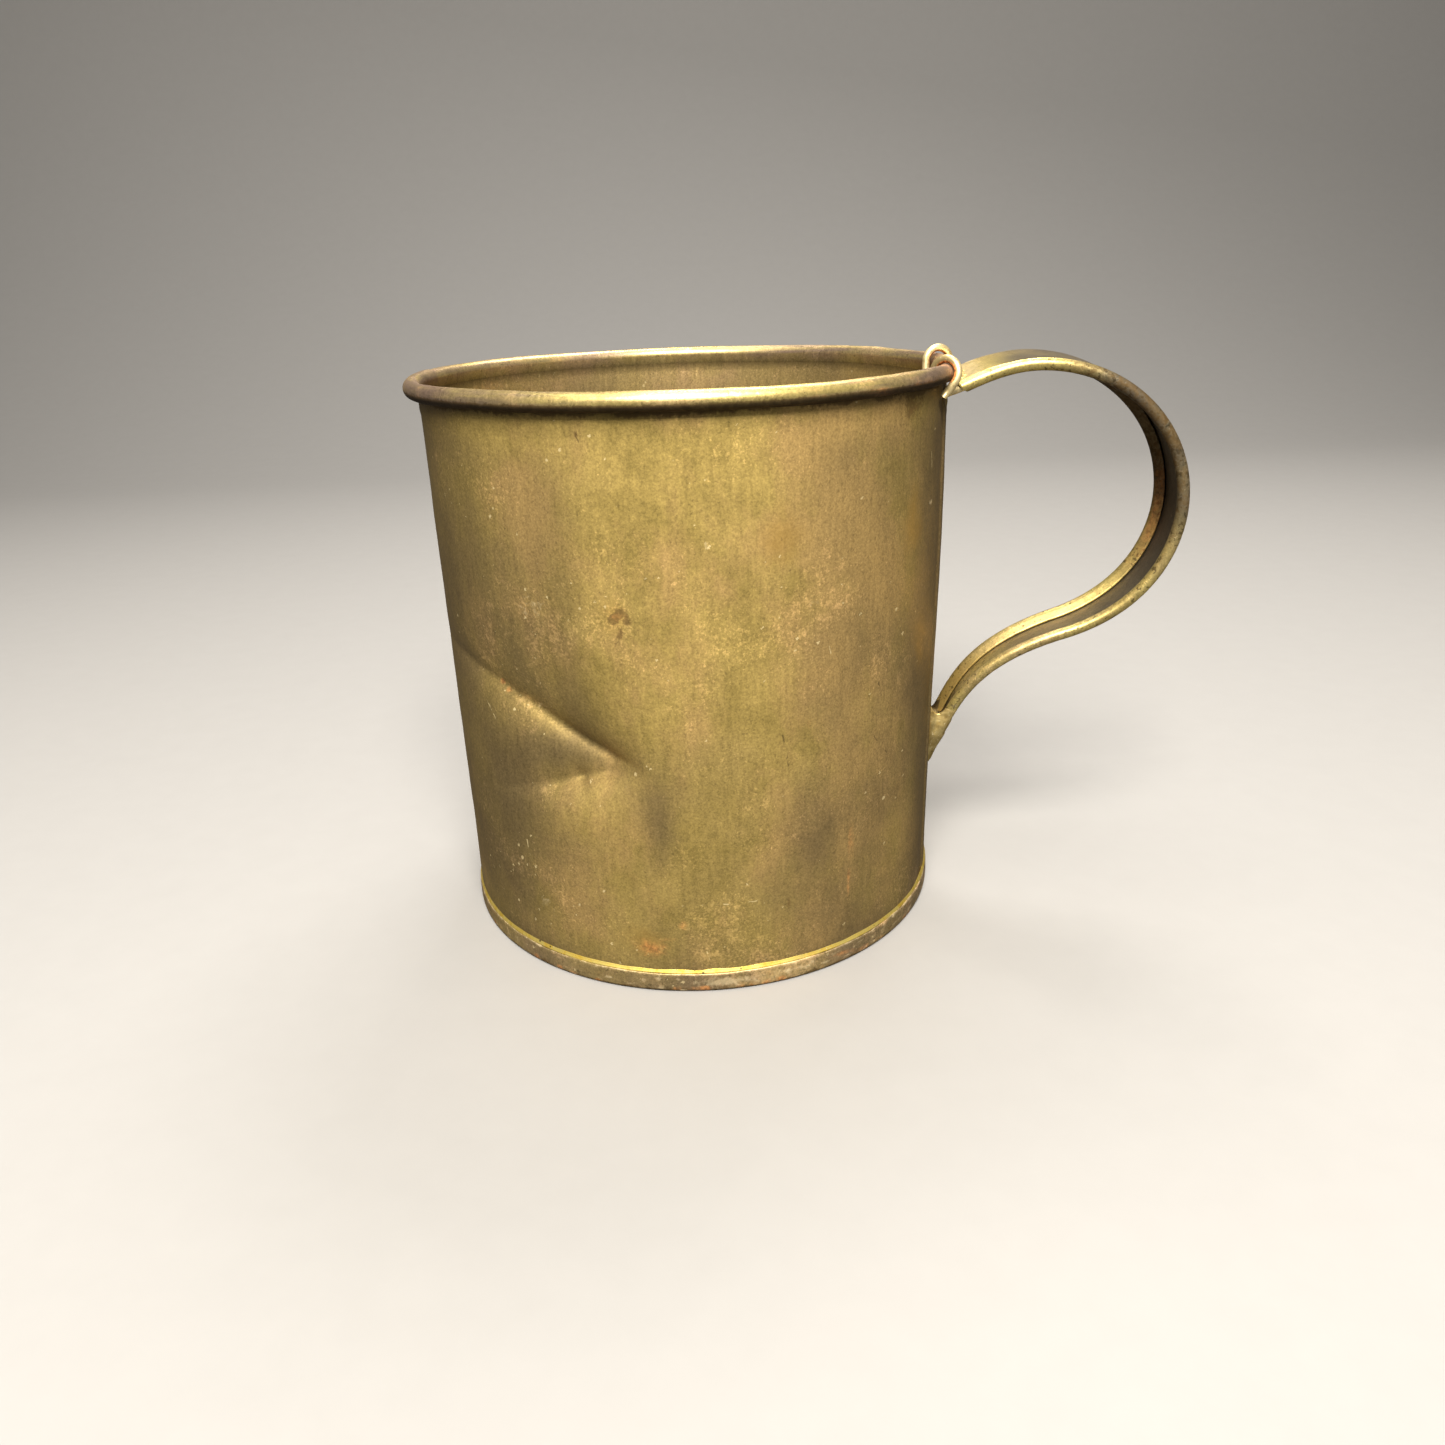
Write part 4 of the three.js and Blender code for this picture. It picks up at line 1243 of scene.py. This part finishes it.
def handle_bottom_solder():
    place, _, share, _ = handle_line(160)
    low_end = share > 0.88
    end_out, end_high = place[low_end].T
    end_half = half_width(share[low_end])

    def rods(points):
        """The distance to the strap's two rolls, run on past their ends towards the web's tip."""
        best = 1e9
        for side in (-1, 1):
            line = np.stack([WALL + end_out, side * end_half, end_high], -1)
            line = np.vstack([line, line[-1] + (-2.75, -0.5 * side, -5.4)])
            best = np.minimum(best, distance_to_line(points, line, EDGE_RADIUS))
        return best

    def web(wall, y, z, half):
        """The web behind and below the strap's end: a fin that runs down to a point on the wall."""
        rise = FIN_HIGH - FIN_TIP
        below = (wall * rise - (z - FIN_TIP) * FIN_OUT) / math.hypot(FIN_OUT, rise)
        hollow = z - WEB_TOP + 0.7 * (1 - ((wall - 1.5) / 1.5) ** 2) + 3.2 * smooth(-5.0, -2.6, y)
        fin = np.maximum(np.maximum(below, hollow), np.abs(y) - half)
        behind = wall - 0.8 - np.interp(z, end_high[::-1], end_out[::-1])
        return np.maximum(fin, np.where(z > 32.4, behind, -5.0))

    def solid(points):
        x, y, z = np.moveaxis(points, -1, 0)
        wall = np.hypot(x, y) - WALL
        # A skin over the rolls, thicker downwards, until it hides their ends.
        skin = -0.08 + 0.22 * smooth(36.0, 33.4, z + 0.8 * waves_along(y, 4.5, 84))
        strap = np.minimum(rods(points) - skin, distance_to_strip(points, 0.90, 1.0))
        half = STRAP_END_HALF + 1.05 - 0.32 * np.clip(32.0 - z, 0, 5) - 0.25 * smooth(34, 37, z)
        value = soft_least(web(wall, y, z, half), strap, 1.0)
        value = soft_least(value, wall + 0.02, 1.9)
        edge = np.maximum(np.maximum(z - 38.2, FIN_TIP - 0.8 - z), np.abs(y) - half - 2.2)
        edge = edge + 0.45 * lumpy(points, 0.5, 81)
        value = -soft_least(-value - lumpy(points, 0.025, 85), -edge, 0.6)
        return np.maximum(value, -(wall + 0.12))

    def stain_and_shade(points):
        _, y, z = points.T
        return 0.04 + 0.5 * smooth(34.5, 36.0, z) + 0.16 * waves(y, z, 3, 82)

    # Painted shade in the hollow at the top of the web, between the rolls.
    def painted_shade(points):
        _, y, z = points.T
        return smooth(33.0, 33.8, z) * smooth(-4.8, -4.0, y) * smooth(6.8, 5.6, y)

    return solder_piece("lower_handle_seam", (45.0, -9.6, 25.8), (52.4, 9.6, 39.4), 0.16, solid, stain_and_shade, painted_shade)


def handle_top_solder():
    def solid(points):
        x, y, z = np.moveaxis(points, -1, 0)
        radius = np.hypot(x, y)
        wall = radius - WALL
        bead = np.hypot(radius - BEAD_X, z - BEAD_Z) - BEAD_RADIUS
        fillet = soft_least(np.minimum(wall, bead), distance_to_strip(points, 0.0, 0.10), 2.2) - 0.02
        # A film of solder runs down the wall in a tongue.
        tongue = 88.0 + 0.10 * np.abs(y) ** 1.6
        trim = np.maximum(np.maximum(z - 99.9, tongue - z), np.abs(y) - 9.3)
        trim = np.maximum(trim, radius - 51.2) + 0.4 * lumpy(points, 0.5, 91)
        film = wall - 0.55 * smooth(0.2, -5.0, trim)
        value = np.minimum(fillet, film) + lumpy(points, 0.05, 95)
        value = -soft_least(-value, -trim * 0.6, 0.4)
        return np.maximum(value, -(wall + 0.12))

    def stain_and_shade(points):
        return 0.10 + 0.18 * waves(points[:, 1], points[:, 2], 3, 92)

    return solder_piece("upper_handle_seam", (45.0, -10.2, 86.6), (52.0, 10.2, 101.4), 0.2, solid, stain_and_shade)


# ---- The studio ----

# Where the camera stands: its turn round the cup, distance from the axis, height, and how it points.
VIEW_TURN = math.radians(8.31)
CAMERA_DISTANCE = 205.5
CAMERA_HEIGHT = 117.15
CAMERA_PAN = 0.0246
CAMERA_PITCH = 0.394
CAMERA_ROLL = -0.0339
CAMERA_LENS = 27.03
# The lights: place, what each is aimed at, size, power and colour, turned with the camera.
LIGHTS = {
    "key_light": ((-10, -520, 620), (0, 0, 55), (420, 300), 18.0, (1.0, 0.95, 0.86)),
    "rear_light": ((120, 330, 640), (0, 0, 50), (300, 240), 4.5, (1.0, 0.96, 0.90)),
    "top_light": ((-60, -60, 900), (0, 0, 50), (600, 450), 4.5, (1.0, 0.97, 0.92)),
}


def sweep():
    """A pale floor that curves up behind the cup, square to the camera."""
    line = np.concatenate([[(-1600, 0), (-700, 0), (0, 0)], arc(500, 500, 500, -90, 0, 24), [(1000, 1800)]])
    across = np.linspace(-2200, 2200, 5)
    points = np.array([[(x, y, z) for x in across] for y, z in line], float)
    quads = grid_faces(len(line), len(across), False, False)
    floor = make_piece("studio_floor", points, quads, [paper("studio_paper", (0.27, 0.265, 0.26))])
    floor.data.flip_normals()
    floor.rotation_euler = (0, 0, VIEW_TURN)
    # The metal mirrors the dim room rather than the pale paper, so that its dents show.
    floor.visible_glossy = False


def soft_light(name, place, aim, size, power, colour):
    light = bpy.data.lights.new(name, "AREA")
    light.shape = "RECTANGLE"
    light.size, light.size_y = (side * MM for side in size)
    light.energy = power
    light.color = colour
    lamp = bpy.data.objects.new(name, light)
    turn = Matrix.Rotation(VIEW_TURN, 3, "Z")
    lamp.location = turn @ Vector(place) * MM
    towards = turn @ (Vector(aim) - Vector(place))
    lamp.rotation_euler = towards.to_track_quat("-Z", "Y").to_euler()
    bpy.context.scene.collection.objects.link(lamp)


def camera():
    data = bpy.data.cameras.new("camera")
    data.sensor_width = 36
    data.lens = CAMERA_LENS
    data.clip_start = 0.005
    data.clip_end = 20
    eye = bpy.data.objects.new("camera", data)
    flat = math.cos(CAMERA_PITCH)
    forward = Vector((math.sin(CAMERA_PAN) * flat, math.cos(CAMERA_PAN) * flat, -math.sin(CAMERA_PITCH)))
    right = forward.cross(Vector((0, 0, 1))).normalized()
    level = Matrix((right, right.cross(forward), -forward)).transposed()
    turn = Matrix.Rotation(VIEW_TURN, 3, "Z")
    facing = turn @ (level @ Matrix.Rotation(CAMERA_ROLL, 3, "Z"))
    place = turn @ Vector((0, -CAMERA_DISTANCE, CAMERA_HEIGHT)) * MM
    eye.matrix_world = Matrix.LocRotScale(place, facing.to_quaternion(), None)
    bpy.context.scene.collection.objects.link(eye)
    bpy.context.scene.camera = eye


def studio():
    world = bpy.data.worlds.new("studio")
    world.use_nodes = True
    sky = world.node_tree.nodes["Background"]
    sky.inputs["Color"].default_value = (1.0, 0.97, 0.92, 1)
    sky.inputs["Strength"].default_value = 0.16
    bpy.context.scene.world = world
    sweep()
    for name, facts in LIGHTS.items():
        soft_light(name, *facts)
    bpy.context.scene.view_settings.view_transform = "Standard"
    bpy.context.scene.view_settings.look = "None"


camera()
studio()
stand_for(cup_body(), "tinplate_wall", "cup_body")
stand_for(rim_wire(), "wire", "rim_wire")
stand_for(bottom_pan(), "tinplate_bottom", "bottom_pan")
stand_for(bottom_seam_solder(), "solder", "bottom_seam_solder")
stand_for(side_seam_solder(), "solder", "side_seam_solder")
stand_for(handle_strap(), "tinplate_handle", "handle_strap")
stand_for(handle_wire("hook_wire_front", FRONT_HOOK), "wire", "handle_wire_front")
stand_for(handle_wire("hook_wire_rear", REAR_HOOK), "wire", "handle_wire_rear")
stand_for(handle_top_solder(), "solder", "handle_top_solder")
stand_for(handle_bottom_solder(), "solder", "handle_bottom_solder")
